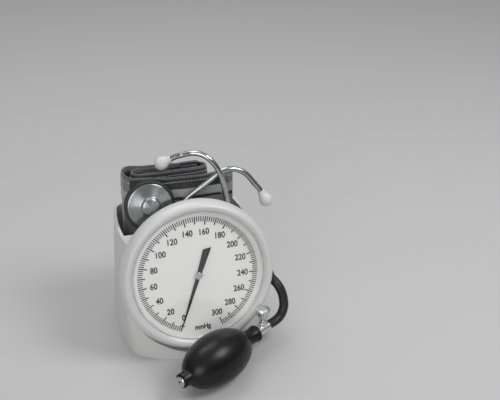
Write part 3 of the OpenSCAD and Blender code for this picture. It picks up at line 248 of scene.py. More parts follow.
# Materials
class Look:
    """A node material with one Principled shader. Coordinates are metres of the row frame."""

    def __init__(self, name, color, rough, metal=0.0, **values):
        self.mat = bpy.data.materials.new(name)
        self.mat.use_nodes = True
        self.nt = self.mat.node_tree
        self.bsdf = self.nt.nodes["Principled BSDF"]
        self.out = self.nt.nodes["Material Output"]
        self.set("Base Color", (*color, 1))
        self.set("Roughness", rough)
        self.set("Metallic", metal)
        for key, value in values.items():
            self.set(key.replace("_", " "), value)
        self.color = color
        self.coord = self.nt.nodes.new("ShaderNodeTexCoord")
        self.mat.diffuse_color = (*color, 1)

    def set(self, socket, value):
        self.bsdf.inputs[socket].default_value = value

    def node(self, kind, **values):
        n = self.nt.nodes.new(kind)
        for key, value in values.items():
            if hasattr(n, key):
                setattr(n, key, value)
            else:
                n.inputs[key.replace("_", " ")].default_value = value
        return n

    def link(self, a, b):
        self.nt.links.new(a, b)

    def mapped(self, scale=(1, 1, 1), kind="Object"):
        m = self.node("ShaderNodeMapping")
        m.inputs["Scale"].default_value = scale
        self.link(self.coord.outputs[kind], m.inputs["Vector"])
        return m.outputs["Vector"]

    def noise(self, scale, detail=3.0, stretch=None, kind="Object"):
        n = self.node("ShaderNodeTexNoise", Scale=scale, Detail=detail, Roughness=0.5)
        self.link(self.mapped(stretch or (1, 1, 1), kind), n.inputs["Vector"])
        return n.outputs["Fac"]

    def wave(self, scale, direction):
        n = self.node("ShaderNodeTexWave", Scale=scale, Distortion=0.0)
        n.bands_direction = direction
        n.wave_profile = "SIN"
        self.link(self.mapped(kind="UV"), n.inputs["Vector"])
        return n.outputs["Fac"]

    def ramp(self, fac, stops):
        n = self.node("ShaderNodeValToRGB")
        while len(n.color_ramp.elements) < len(stops):
            n.color_ramp.elements.new(0.5)
        for e, (pos, col) in zip(n.color_ramp.elements, stops):
            e.position = pos
            e.color = (*col, 1)
        self.link(fac, n.inputs["Fac"])
        return n.outputs["Color"]

    def span(self, fac, low, high):
        """A noise's middle range, 0.3 to 0.7, stretched to low and high."""
        n = self.node("ShaderNodeMapRange")
        n.inputs["From Min"].default_value = 0.3
        n.inputs["From Max"].default_value = 0.7
        n.inputs["To Min"].default_value = low
        n.inputs["To Max"].default_value = high
        self.link(fac, n.inputs["Value"])
        return n.outputs["Result"]

    def math(self, op, a, b):
        n = self.node("ShaderNodeMath")
        n.operation = op
        for k, v in enumerate((a, b)):
            if isinstance(v, (int, float)):
                n.inputs[k].default_value = v
            else:
                self.link(v, n.inputs[k])
        return n.outputs["Value"]

    def mix(self, fac, a, b):
        n = self.node("ShaderNodeMix")
        n.data_type = "RGBA"
        self.link(fac, n.inputs["Factor"])
        n.inputs[6].default_value = (*a, 1)
        n.inputs[7].default_value = (*b, 1)
        return n.outputs[2]

    def tint(self, fac, low, high):
        """Base colour between low and high times the base colour."""
        dark = tuple(x * low for x in self.color)
        light = tuple(min(1, x * high) for x in self.color)
        self.link(self.mix(fac, dark, light), self.bsdf.inputs["Base Color"])

    def roughness(self, fac, low, high):
        self.link(self.span(fac, low, high), self.bsdf.inputs["Roughness"])

    def bump(self, fac, height, chain=None):
        n = self.node("ShaderNodeBump", Strength=1.0, Distance=height)
        self.link(fac, n.inputs["Height"])
        if chain is not None:
            self.link(chain, n.inputs["Normal"])
        self.link(n.outputs["Normal"], self.bsdf.inputs["Normal"])
        return n.outputs["Normal"]


def plastic(name, color, rough, grain=0.000012, spec=0.5, vary=0.02):
    m = Look(name, color, rough, Specular_IOR_Level=spec)
    m.tint(m.noise(18, 2), 1 - vary, 1 + vary * 0.5)
    m.roughness(m.noise(60, 3), rough - 0.03, rough + 0.04)
    m.bump(m.noise(1800, 2), grain)
    return m


def metal(name, color, rough, vary=0.06, brushed=None):
    m = Look(name, color, rough, 1.0)
    m.tint(m.noise(90, 3), 0.93, 1.03)
    fac = m.noise(60, 5, stretch=brushed) if brushed else m.noise(260, 5)
    m.roughness(fac, max(0.02, rough - vary), rough + vary)
    m.bump(m.noise(1500, 4, stretch=brushed) if brushed else m.noise(1800, 3), 0.000004)
    return m


white_plastic = plastic("white_plastic", (0.62, 0.62, 0.615), 0.38)
ring_plastic = plastic("ring_plastic", (0.62, 0.62, 0.62), 0.3, grain=0.000006)
dial_face = plastic("dial_face", (0.56, 0.56, 0.555), 0.5, grain=0.000006, spec=0.3, vary=0.015)
black_plastic = plastic("black_plastic", (0.018, 0.018, 0.02), 0.36)
case_metal = metal("case_metal", (0.56, 0.57, 0.58), 0.36, brushed=(1, 14, 1))
brass = metal("brass", (0.78, 0.58, 0.27), 0.24)
steel = metal("steel", (0.60, 0.61, 0.63), 0.26)
blued_steel = metal("blued_steel", (0.10, 0.14, 0.26), 0.22)
chrome = metal("chrome", (0.50, 0.505, 0.51), 0.13, vary=0.035)
nickel = metal("nickel", (0.11, 0.11, 0.115), 0.34, vary=0.05)
satin = metal("satin", (0.74, 0.745, 0.75), 0.27, vary=0.05)
pointer_black = plastic("pointer_black", (0.014, 0.014, 0.015), 0.45, grain=0.000006, spec=0.3)
print_black = plastic("print_black", (0.018, 0.018, 0.019), 0.6, grain=0.000005, spec=0.15, vary=0.2)
rim_rubber = plastic("rim_rubber", (0.02, 0.02, 0.021), 0.45)
film = plastic("film", (0.62, 0.63, 0.63), 0.3, grain=0.000004)
grey_rubber = plastic("grey_rubber", (0.10, 0.10, 0.10), 0.7, grain=0.00004)

bulb_rubber = Look("bulb_rubber", (0.006, 0.006, 0.0063), 0.3, Specular_IOR_Level=0.28)
bulb_rubber.tint(bulb_rubber.noise(35, 3), 0.7, 1.6)
bulb_rubber.roughness(bulb_rubber.noise(120, 5), 0.27, 0.33)
bulb_rubber.bump(bulb_rubber.noise(700, 4), 0.00002)

hose_rubber = Look("hose_rubber", (0.014, 0.014, 0.0145), 0.4, Specular_IOR_Level=0.4)
hose_rubber.tint(hose_rubber.noise(60, 3), 0.75, 1.5)
hose_rubber.roughness(hose_rubber.noise(200, 5), 0.36, 0.5)
hose_rubber.bump(hose_rubber.noise(1200, 4), 0.00004)

ear_soft = Look("ear_soft", (0.64, 0.64, 0.625), 0.42, Subsurface_Weight=0.25, Subsurface_Scale=0.004)
ear_soft.tint(ear_soft.noise(160, 3), 0.93, 1.03)
ear_soft.roughness(ear_soft.noise(300, 3), 0.36, 0.5)
ear_soft.bump(ear_soft.noise(900, 3), 0.00002)

# Clear acrylic: lamps pass through it unbent
clear_lens = Look("clear_lens", (1.0, 1.0, 1.0), 0.03, Transmission_Weight=1.0, IOR=1.45,
                  Specular_IOR_Level=0.25)
clear_lens.bump(clear_lens.noise(22, 1), 0.00002)
_light = clear_lens.node("ShaderNodeLightPath")
_pass = clear_lens.node("ShaderNodeBsdfTransparent")
_mix = clear_lens.node("ShaderNodeMixShader")
clear_lens.link(_light.outputs["Is Shadow Ray"], _mix.inputs["Fac"])
clear_lens.link(clear_lens.bsdf.outputs["BSDF"], _mix.inputs[1])
clear_lens.link(_pass.outputs["BSDF"], _mix.inputs[2])
clear_lens.link(_mix.outputs["Shader"], clear_lens.out.inputs["Surface"])

# Spun metal: the brush lines run round, so highlights fan out from the middle
spun = Look("spun_metal", (0.42, 0.424, 0.43), 0.3, 1.0, Anisotropic=0.85, Anisotropic_Rotation=0.25)
_tan = spun.node("ShaderNodeTangent")
_tan.direction_type = "UV_MAP"
_tan.uv_map = "UVMap"
spun.link(_tan.outputs["Tangent"], spun.bsdf.inputs["Tangent"])
spun.tint(spun.noise(40, 3), 0.92, 1.03)
spun.roughness(spun.noise(9, 4, kind="UV", stretch=(0.4, 60, 1)), 0.26, 0.36)
spun.bump(spun.noise(12, 3, kind="UV", stretch=(0.3, 90, 1)), 0.000004)


def cloth_look(name, color, thread, high=1.5, low=0.6, height=0.00012):
    """Plain weave in UV metres, with heathered threads."""
    m = Look(name, color, 0.88, Sheen_Weight=0.25, Sheen_Roughness=0.5, Specular_IOR_Level=0.2)
    bands = 2 * math.pi / 20 / (thread * MM)  # a wave of scale 1 has a band every 2 pi / 20 units
    warp = m.wave(bands, "X")
    weft = m.wave(bands, "Y")
    over = m.math("MULTIPLY", warp, weft)
    six_threads = 1 / (thread * MM) / 6
    hx = m.noise(six_threads, 2, kind="UV", stretch=(1, 0.12, 1))
    hy = m.noise(six_threads, 2, kind="UV", stretch=(0.12, 1, 1))
    heather = m.math("MULTIPLY", m.math("ADD", hx, hy), 0.5)
    nap = m.noise(34, 4, kind="UV", stretch=(0.3, 1.8, 1))
    fac = m.math("ADD", m.math("MULTIPLY", heather, 0.5), m.math("MULTIPLY", over, 0.2))
    fac = m.math("ADD", fac, m.math("MULTIPLY", nap, 0.5))
    dark, light = tuple(x * low for x in color), tuple(min(1, x * high) for x in color)
    m.link(m.ramp(fac, [(0.36, dark), (0.55, color), (0.8, light)]), m.bsdf.inputs["Base Color"])
    first = m.bump(over, height)
    m.bump(m.noise(420, 4), height * 0.8, chain=first)
    return m


cuff_cloth = cloth_look("cuff_cloth", (0.037, 0.0375, 0.039), 1.1, high=2.1, low=0.5)
loop_cloth = cloth_look("loop_cloth", (0.20, 0.20, 0.205), 2.2, high=1.9, low=0.5, height=0.0002)
band_cloth = cloth_look("band_cloth", (0.36, 0.36, 0.36), 0.7, high=1.25, low=0.8, height=0.00006)
binding = cloth_look("binding", (0.12, 0.12, 0.125), 0.7, high=1.7, low=0.6)
thread_look = cloth_look("thread_look", (0.55, 0.55, 0.55), 0.4, high=1.4, low=0.7)

FINISH = {
    "housing": white_plastic, "base_plate": white_plastic, "rubber_feet": grey_rubber, "base_screws": steel,
    "bezel_ring": ring_plastic, "lens": clear_lens, "spacer_ring": ring_plastic, "dial_plate": dial_face,
    "gauge_case": case_metal, "case_screws": steel, "pressure_base": brass, "movement_screws": steel,
    "capsule": brass, "capsule_pusher": brass, "lower_posts": brass, "lower_plate": brass,
    "upper_pillars": brass, "upper_plate": brass, "plate_screws": steel, "rocker_bearings": brass,
    "rocker_shaft": steel, "sector_gear": brass, "pinion_arbor": steel, "hairspring": blued_steel,
    "hairspring_stud": brass, "pointer": pointer_black, "pointer_cap": steel, "inlet_elbow": chrome,
    "elbow_nut": chrome, "cuff_port": chrome, "inlet_valve": chrome, "inlet_ball": ring_plastic,
    "valve_body": satin, "outlet_disc": grey_rubber, "valve_gland": satin, "valve_screw": satin,
    "cuff_bladder": grey_rubber, "d_ring": nickel, "chest_rim": rim_rubber, "chest_diaphragm": film,
    "chest_stem": chrome, "binaural_sockets": black_plastic, "leaf_spring": steel,
    "hose": hose_rubber, "bulb": bulb_rubber, "cuff": cuff_cloth, "cuff_range_band": band_cloth,
    "chest_piece": spun, "steth_tubing": hose_rubber, "left_binaural": chrome, "right_binaural": chrome,
    "left_ear_tip": ear_soft, "right_ear_tip": ear_soft,
}
for name, look in FINISH.items():
    ob = NODES[name]
    ob.data.materials.clear()
    ob.data.materials.append(look.mat)

# Camera: the photograph's view
AZ, EL, ROLL = (math.radians(a) for a in (-17.967, 27.418, -0.307))
CAMERA_AT = (-0.16608, -0.70458, 0.50523)
cam_data = bpy.data.cameras.new("camera")
cam = bpy.data.objects.new("camera", cam_data)
SCENE.collection.objects.link(cam)
SCENE.camera = cam
back = Vector((math.sin(AZ) * math.cos(EL), -math.cos(AZ) * math.cos(EL), math.sin(EL)))
right = Vector((math.cos(AZ), math.sin(AZ), 0))
up = back.cross(right)
right2 = math.cos(ROLL) * right - math.sin(ROLL) * up
up2 = math.sin(ROLL) * right + math.cos(ROLL) * up
turn = Matrix((right2, up2, back)).transposed().to_4x4()
cam.matrix_world = Matrix.Translation(Vector(CAMERA_AT)) @ turn
cam_data.lens = 64.8
cam_data.sensor_width = 36
cam_data.clip_start = 0.02
cam_data.clip_end = 50

# Hose and stethoscope tubing, the two cords
FLANK_X = 0.25 * BASE_W / 2 + 0.75 * (RING_R - 3.1)
ELBOW_X, ELBOW_Y, ELBOW_Z = FLANK_X - 2.4 + 7, -14, -24.2
LEG_LEN = 14
DIP = math.radians(20)
leg = put(DIAL, [(ELBOW_X, ELBOW_Y, ELBOW_Z), (ELBOW_X, ELBOW_Y - math.sin(DIP), ELBOW_Z + math.cos(DIP))])
hose_start = leg[0] + 0.37 * LEG_LEN * (leg[1] - leg[0])
VALVE_END = BULB_LEN / 2 + 29
hose_end = put(BULB, [(0, 0, VALVE_END + 0.3)])[0]

# The share of the way between the hose's ends, and how far it stands off the straight line there
HOSE_BOW = [
    (0, 0, 0, 0), (0, 0, -4.9, -0.9), (0.08, 1, -6, 1.2), (0.17, 3, -6.4, 3.6), (0.27, 6.3, -6, 5),
    (0.37, 9.7, -5.3, 4.5), (0.47, 12.6, -3.9, 2.7), (0.57, 14.5, -2.2, 0.3), (0.67, 15.3, -0.4, -1.7),
    (0.76, 14.2, 0.8, -3.3), (0.85, 11.6, 1.8, -3.5), (0.93, 8.3, 2.6, -2.2), (1, 4.6, 2.7, 0), (1, 0, 0, 0),
]
knots = [hose_start * (1 - k) + hose_end * k + np.array(bow) for k, *bow in HOSE_BOW]
hose_path = even(catmull(knots, 8), 1.6)
hose = sweep("hose_tube", hose_path, HOSE_R, hose_rubber.mat, 32, slot="black_rubber", normal=(1, 0, 0),
             bore=2.5, depth=2.0)
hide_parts("hose")

# The coil runs clockwise from COIL_START degrees and climbs from its front layer to its back one
COIL_C, COIL_R = (-6, 45.4), 38
COIL_TURNS, COIL_START, STEPS_A_TURN = 1.58, 30, 24
LAYERS, CLIMB = (45.8, 54.8), (0.7, 1.0)


def at_dial_y(p):
    return [(x, y + DIAL_Y, z) for x, y, z in p]


def layer_at(f):
    climbed = min(1, max(0, (f - CLIMB[0]) / (CLIMB[1] - CLIMB[0])))
    return LAYERS[0] + (LAYERS[1] - LAYERS[0]) * climbed


coil = []
for i in range(int(math.floor(COIL_TURNS * STEPS_A_TURN)) + 1):
    f = i / STEPS_A_TURN
    a = math.radians(COIL_START - 360 * f)
    coil.append((COIL_C[0] + COIL_R * math.cos(a), DIAL_Y + layer_at(f), COIL_C[1] + COIL_R * math.sin(a)))
chest_down = np.array([0, -math.sin(CHEST_LEAN), -math.cos(CHEST_LEAN)])
chest_end = tuple(np.array(CHEST_POS) + (CHEST_R + 2) * chest_down)
lead_in = at_dial_y([(36, 46.4, 94), (35, 46, 84), (31.4, 45.8, 73.6)])
lead_out = at_dial_y([(-44, 54.8, 46), (-43.6, 54.8, 56), (-42, 54.8, 66), (-39, 54, 76),
                      (-35.4, 51.4, 85.4), (-32, 48, 93.4)])
tube_path = even(catmull(lead_in + coil + lead_out + [chest_end], 4), 2.0)[::-1]
tube = sweep("stethoscope_tube", tube_path, TUBING_R, hose_rubber.mat, 20, "stethoscope", "black_rubber",
             normal=(0, 1, 0))
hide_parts("steth_tubing")
left_pivot = np.array((41, DIAL_Y + 47.5, 112.0))
right_pivot = np.array((-1, DIAL_Y + 54, 112.0))
FOOT = np.array((0, 0, -5.4))
left_foot, right_foot = left_pivot + FOOT, right_pivot + FOOT
branch = [tuple(right_foot), tuple(right_foot - (0, 0, 3))] + at_dial_y(
    [(0.6, 52.6, 98), (5.6, 50.4, 94.6), (12, 48, 92.4), (22, 46.6, 91), (30, 46, 87), (33.4, 46, 81)])
stalk = [tuple(left_foot), tuple(left_foot - (0, 0, 3))] + at_dial_y(
    [(39, 47, 98.6), (36, 46.4, 94), (35, 46, 84)])
branches = [
    sweep(name, even(catmull(route, 6), 2.0), BRANCH_R, hose_rubber.mat, 20, "stethoscope", "black_rubber",
          normal=(0, 1, 0))
    for name, route in (("tube_branch_long", branch), ("tube_branch_short", stalk))
]

# Floor, lamps and world
FAR = 6000
floor = make("floor", [(-FAR, -FAR, 0), (FAR, -FAR, 0), (FAR, FAR, 0), (-FAR, FAR, 0)], [[0, 1, 2, 3]],
             None, body=None, mats=[bpy.data.materials.new("paper")])
paper = floor.data.materials[0]
paper.use_nodes = True
paper_shader = paper.node_tree.nodes["Principled BSDF"]
paper_shader.inputs["Base Color"].default_value = (0.52, 0.52, 0.52, 1)
paper_shader.inputs["Roughness"].default_value = 0.9
paper_shader.inputs["Specular IOR Level"].default_value = 0.1

world = bpy.data.worlds.new("studio")
SCENE.world = world
world.use_nodes = True

# The room is bright overhead and dim at the height of the eye, so metal shows dark lines between pale ones
sky = world.node_tree.nodes
look_up = sky.new("ShaderNodeTexCoord")
height = sky.new("ShaderNodeSeparateXYZ")
room_tone = sky.new("ShaderNodeValToRGB")
tones = room_tone.color_ramp.elements
stops = [tones[0], tones[1], tones.new(0.3)]
for stop, (place, grey) in zip(stops, [(0.0, 0.16), (0.75, 1.0), (0.3, 0.3)]):
    stop.position = place
    stop.color = (grey, grey, grey, 1)
world.node_tree.links.new(look_up.outputs["Generated"], height.inputs["Vector"])
world.node_tree.links.new(height.outputs["Z"], room_tone.inputs["Fac"])
world.node_tree.links.new(room_tone.outputs["Color"], sky["Background"].inputs["Color"])
sky["Background"].inputs["Strength"].default_value = 0.6


def lamp(name, place, aim, size, watts):
    d = bpy.data.lights.new(name, "AREA")
    d.energy = watts
    d.shape = "RECTANGLE"
    d.size = size
    d.size_y = size
    o = bpy.data.objects.new(name, d)
    SCENE.collection.objects.link(o)
    o.location = Vector(place)
    o.rotation_mode = "QUATERNION"
    o.rotation_quaternion = (Vector(aim) - Vector(place)).to_track_quat("-Z", "Y")


lamp("key", (0.75, -0.55, 1.15), (0, 0, 0.07), 0.55, 8.0)
lamp("fill", (-0.85, -1.45, 0.6), (0, 0, 0.05), 1.0, 10.0)
lamp("top", (-0.1, 0.5, 1.3), (0, 0, 0.08), 0.8, 5.2)

# Bulb
BULB_HALF, BULB_R = BULB_LEN / 2, BULB_D / 2
LEFT_END, RIGHT_END = -BULB_HALF - 6.5, BULB_HALF + 13
BULB_WALL = 2.4


def egg(half, r, s):
    return r * math.sqrt(max(0.0, 1 - (s / half) ** 2))


def egg_at(half, r, rr):
    return half * math.sqrt(1 - (rr / r) ** 2)


def blend_profile(points):
    """Softens a profile's corners by cutting them twice."""
    p = points
    for _ in range(2):
        out = [p[0]]
        for a, b in zip(p, p[1:]):
            out.append(tuple(0.75 * x + 0.25 * y for x, y in zip(a, b)))
            out.append(tuple(0.25 * x + 0.75 * y for x, y in zip(a, b)))
        p = out + [p[-1]]
    return p


def eased(a, b, n):
    """Places from a to b that crowd together at both ends."""
    return [a + (b - a) * (1 - math.cos(math.pi * i / n)) / 2 for i in range(n + 1)]


s0, s1 = -egg_at(BULB_HALF, BULB_R, 7.4), egg_at(BULB_HALF, BULB_R, 8.2)
body_rows = [(egg(BULB_HALF, BULB_R, s), s) for s in eased(s0, s1, 40)]
left_lip = [(5.6, 0.1), (6.0, 0), (6.4, 0.15), (6.62, 0.6)]
right_lip = [(7.2, 3.6), (7.35, 3.2), (7.8, 2.6), (7.9, 2.2), (7.9, 0.8), (7.75, 0.25), (7.3, 0), (4.6, 0),
             (4.2, 0.3)]
outer = [(r, LEFT_END + h) for r, h in left_lip] + [(6.6, s0 - 1.2)]
outer += blend_profile([(6.6, s0 - 1.2), (6.75, s0 - 0.4), body_rows[0]])[1:-1]
outer += body_rows
outer += blend_profile([body_rows[-1], (7.5, s1 + 1.2), (7.2, s1 + 2.6)])[1:]
outer += [(r, RIGHT_END - h) for r, h in right_lip]
BULB_BORE = 4.2
IH, IR = BULB_HALF - BULB_WALL, BULB_R - BULB_WALL
t0, t1 = -egg_at(IH, IR, BULB_BORE), egg_at(IH, IR, BULB_BORE)
inner = [(egg(IH, IR, s), s) for s in eased(t1, t0, 24)]
profile = outer + inner + [(BULB_BORE, LEFT_END + 0.4), (4.7, LEFT_END + 0.1)]

# The mould seam runs along both sides, with finer steps round it
SEAMS = (math.pi / 2, 3 * math.pi / 2)
SEAM_STEPS = (-0.024, -0.012, -0.006, 0, 0.006, 0.012, 0.024)
SEAM_HEIGHT, SEAM_HALF, NECK_R, SEAM_END = 0.14, 0.22, 6.7, 44
even_angles = [round(a, 5) for a in np.linspace(0, 2 * math.pi, 120, endpoint=False)]
seam_angles = sorted(set(even_angles + [round(c + d, 5) for c in SEAMS for d in SEAM_STEPS]))


def bulb_seam(a, h, r):
    if r <= NECK_R or abs(h) > SEAM_END:
        return 0.0
    d = min(abs(a - c) for c in SEAMS)
    return SEAM_HEIGHT * math.exp(-((d * r / SEAM_HALF) ** 2))


bulb = lathe("bulb_skin", BULB, profile, bulb_rubber.mat, swell=bulb_seam,
             angles=seam_angles, sharp=50)
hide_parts("bulb")

# Binaural tubes and ear tips
TUBE_R, BALL_R = 2.5, 3.2
LEFT = [(41, 47.5, 112), (41, 47.5, 120), (39.8, 47.5, 129.6), (37.6, 47.6, 140.4), (34.6, 48.4, 150.7),
        (30.6, 50, 159), (25, 52.6, 165.5), (18.6, 56, 168.8), (12, 59.2, 169.2), (6.2, 62.4, 167.4),
        (-1.2, 66, 164.6), (-8.4, 68.9, 160.6)]
RIGHT = [(-1, 54, 112), (-0.6, 54, 118), (2.6, 54, 124.4), (8, 54, 129.4), (17.4, 54, 136), (24.8, 54, 140.8),
         (32.4, 54, 146.2), (39.6, 54, 150.2), (47.2, 54, 150.6), (54.4, 53.6, 148.8), (61.6, 52.5, 143.8),
         (68.4, 50.8, 134.8), (73.4, 49.2, 128.2), (75.6, 48.3, 124)]
for side, route, pivot in (("left", LEFT, left_pivot), ("right", RIGHT, right_pivot)):
    path = even(catmull(at_dial_y(route), 8), 1.5)
    arc_at = np.concatenate([[0], np.cumsum(np.linalg.norm(np.diff(path, axis=0), axis=1))])
    ring_up = 0.35 * np.exp(-(((arc_at - arc_at[-1] + 13) / 0.7) ** 2))
    ring_low = 0.12 * np.exp(-(((arc_at - 12) / 0.8) ** 2))
    tube_part = sweep_data(path, TUBE_R + ring_up + ring_low, 32, normal=(0, 1, 0), bore=1.6, depth=1.5)
    rounded = [(BALL_R * math.cos(b), BALL_R * math.sin(b)) for b in np.linspace(-1.45, 1.45, 22)]
    ball = lathe_data([(0, -BALL_R)] + rounded + [(0, BALL_R)], 40)
    ball_part = (put(placed_frame(pivot, (1, 0, 0), (0, 1, 0), (0, 0, 1)), ball[0]), ball[1])
    pts, faces = join_data([tube_part, ball_part])
    ear_tube = make(f"{side}_ear_tube_skin", pts, faces, chrome.mat, f"{side}_ear_tube", sharp=40)
    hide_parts(f"{side}_binaural")
    before, end = np.array(at_dial_y(route)[-2:])
    fr = axis_frame(end, end - before)
    prof = [(2.55, -3.3), (3.0, -3.4), (3.3, -3.1), (3.45, -2.2)]
    prof += [(3.5 + 2.9 * math.sin(f * math.pi / 2) ** 1.5, -1.6 + 8.8 * f) for f in np.linspace(0, 1, 15)]
    dome = np.radians(np.linspace(6, 77, 14))
    prof += [(6.4 * math.cos(a), 7.2 + 6.4 * math.sin(a)) for a in dome]
    prof += [(1.3, 13.5), (1.2, 13.2), (1.2, 6.0), (1.2, 1.0), (1.25, 0.1), (2.5, 0.0), (2.55, -1.2)]
    tip = lathe(f"{side}_ear_tip_soft", fr, prof, ear_soft.mat, 64, body=f"{side}_ear_tube",
                sharp=55)
    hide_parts(f"{side}_ear_tip")

# Dial printing, a thin layer between two heights over the dial's face
TICK_H0, TICK_H1 = 0.02, 0.07


def slab(poly_uv, h0, h1):
    n = len(poly_uv)
    pts = [(u, v, h0) for u, v in poly_uv] + [(u, v, h1) for u, v in poly_uv]
    faces = [list(range(n))[::-1], [n + i for i in range(n)]]
    faces += [[i, (i + 1) % n, n + (i + 1) % n, n + i] for i in range(n)]
    return np.array(pts, float), faces


def mark_angle(value):
    return math.radians(90 - (value - 150) * SPAN / 300)


def radial(angle):
    """Unit vectors outward and along the scale."""
    return np.array([math.cos(angle), math.sin(angle)]), np.array([-math.sin(angle), math.cos(angle)])


parts = []
R_OUT = SCALE_D / 2
for value in range(0, 301, 2):
    long = value % 10 == 0
    r_in = R_OUT - (7.8 if value % 20 == 0 else 7.0 if long else 4.7)
    w = 0.55 if long else 0.45
    d, n = radial(mark_angle(value))
    corners = [(r_in, -w), (R_OUT, -w), (R_OUT, w), (r_in, w)]
    parts.append(slab([tuple(d * r + n * h) for r, h in corners], TICK_H0, TICK_H1))
d, n = radial(mark_angle(0))
c0 = d * (R_OUT - 5.4)
corners = [(2.6, -0.35), (2.6, 0.35), (-2.6, 0.35), (-2.6, -0.35)]  # the bar across the zero tick
parts.append(slab([tuple(c0 + n * h + d * r) for h, r in corners], TICK_H0, TICK_H1))
pts, faces = join_data(parts)
make("dial_scale", put(DIAL, pts), faces, print_black.mat, "stand", smooth=False)


def printed(name, text, centre, height, squeeze=0.84, weight=0.03):
    curve = bpy.data.curves.new(name, "FONT")
    curve.body = text
    curve.size = 1.0
    curve.align_x = "CENTER"
    curve.offset = weight
    curve.extrude = 0.5
    curve.space_character = 1.02
    tmp = bpy.data.objects.new(name, curve)
    SCENE.collection.objects.link(tmp)
    bpy.context.view_layer.update()
    me = bpy.data.meshes.new_from_object(tmp.evaluated_get(bpy.context.evaluated_depsgraph_get()))
    bpy.data.objects.remove(tmp)
    co = np.array([v.co[:] for v in me.vertices])
    k = height / 0.70  # figures of a font of size 1 stand 0.70 high
    local = np.stack([co[:, 0] * k * squeeze + centre[0], (co[:, 1] - 0.35) * k + centre[1],
                      np.where(co[:, 2] > 0, TICK_H1, TICK_H0)], 1)
    faces = [list(p.vertices) for p in me.polygons]
    bpy.data.meshes.remove(me)
    return local, faces


NUMBER_R, NUMBER_H = 41.0, 5.5
ZERO_ASIDE = -1.4  # the nought stands a little to the left, so that the resting needle leaves it legible
parts = []
for value in range(0, 301, 20):
    a = mark_angle(value)
    aside = ZERO_ASIDE if value == 0 else 0.0
    centre = (NUMBER_R * math.cos(a) + aside, NUMBER_R * math.sin(a))
    parts.append(printed("number", str(value), centre, NUMBER_H))
parts.append(printed("number", "mmHg", (0.8, -49.8), 4.7, 0.8, 0.04))
pts, faces = join_data(parts)
make("dial_numbers", put(DIAL, pts), faces, print_black.mat, "stand", smooth=False)

# Chest piece: a spun dish with a low hub, and the soft rim round it
DISH_R = CHEST_R - 2.45
prof = [(0, -4.0), (DISH_R, -4.0), (DISH_R, -1.0), (DISH_R - 0.2, -0.5), (DISH_R - 0.7, -0.1),
        (DISH_R - 1.3, 0.15)]
prof += [(r, 0.2 + 1.55 * ((CHEST_R - 4.4 - r) / 9.2) ** 1.25) for r in np.linspace(CHEST_R - 4.6, 10.2, 14)]
prof += [(9.6, 1.8), (9.1, 1.98), (8.7, 2.35), (8.45, 2.9), (8.3, 3.5), (8.05, 4.05), (7.5, 4.5), (6.7, 4.8),
         (5.0, 5.05), (2.5, 5.2), (0, 5.25)]
chest = lathe("chest_piece_spun", CHEST, prof, spun.mat, 128, closed=False, body="stethoscope",
              sharp=38, uv=True)
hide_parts("chest_piece")
rim_rows = [(-3.2, -5.4), (-0.8, -5.4), (-0.25, -5.1), (0, -4.6), (0, -1.5), (-0.2, -0.7), (-0.7, -0.15),
            (-1.4, 0.1), (-2.2, 0.05), (-2.65, -0.3), (-2.45, -0.9), (-2.45, -4.6), (-3.2, -4.6)]
rim = lathe("chest_rim_soft", CHEST, [(CHEST_R + r, h) for r, h in rim_rows], rim_rubber.mat, 128,
            body="stethoscope", sharp=50)
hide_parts("chest_rim")

CUFF_MID = CUFF_FRONT + CUFF_T / 2
FOLD_L = 2.5 * CUFF_T
BACK_LINE = CUFF_MID + 2 * FOLD_L
ROLL_Y = BACK_LINE - 1.72 * CUFF_T
ROLL_R, TAIL_R = 1.06 * CUFF_T, 1.32 * CUFF_T
ROLL_X = (CUFF_X[0] + 10.5, CUFF_X[1] - 28)


def bend(cx, cy, rx, ry, a0, a1, n):
    ang = np.radians(np.linspace(a0, a1, n + 1))
    return [(cx + rx * math.cos(a), cy + ry * math.sin(a), 0.0) for a in ang]


cuff_line = [(CUFF_X[1] - 0.3, CUFF_MID, 0.0)]
cuff_line += bend(CUFF_X[0] + 4, CUFF_MID + FOLD_L, 9, FOLD_L, 270, 90, 20)
cuff_line += [(ROLL_X[1], ROLL_Y, 0.0)]
cuff_line += bend(ROLL_X[1], ROLL_Y - ROLL_R, ROLL_R, ROLL_R, 85, -90, 12)
cuff_line += bend(ROLL_X[0], ROLL_Y - 2 * ROLL_R + TAIL_R, TAIL_R, TAIL_R, 270, 98, 12)
cuff_line += [(ROLL_X[0] + 28.6, ROLL_Y - 1.8, 0.0)]
cuff_path = even(cuff_line, 2.6)
cuff_len = length_of(cuff_path)
COLS = len(cuff_path)
cuff_s = np.linspace(0, cuff_len, COLS)
step = np.gradient(cuff_path[:, :2], axis=0)
step /= np.linalg.norm(step, axis=1)[:, None]
cuff_out = np.stack([-step[:, 1], step[:, 0], np.zeros(COLS)], 1)

# Where along the band the flap's top edge dips, and how far each row of the shell stands off its middle
TOP_DIP = np.interp(cuff_s, [0, 22, 45, 70, 92, 120, 190, 215, cuff_len],
                    [4.3, 5.2, 5.7, 3.6, 0.5, 0.0, 0.4, 0.0, 0.7])
ROWS = [0.0, 0.5, 1.4, 3.2, 7.0] + list(np.linspace(11.5, 129.5, 30))
ROWS += [134.0, 137.6, 140.4, 142.8, 144.9, 146.3, CUFF_W]
HALF = np.interp(ROWS, [0, 0.5, 1.4, 3.2, 8, 12, 133, 139, 144.9, 146.3, CUFF_W],
                 [0.35, 0.8, 1.05, 1.1, 1.75, 1.85, 1.85, 1.6, 1.05, 0.85, 0.4])
FLAP_END = 92  # along the band: the flap is free up to here
FLAP_ROOM, FLAP_ROOM_LEFT, BAND_ROOM = 1.5, 0.55, 0.6  # how far the cloth may puff out

# Loop cloth lies on the band's first EDGE_STRIP, on SIDE_STRIP, and below LOOPS_TOP between them
EDGE_STRIP, SIDE_STRIP, LOOPS_TOP = 11, (96, 108), 118


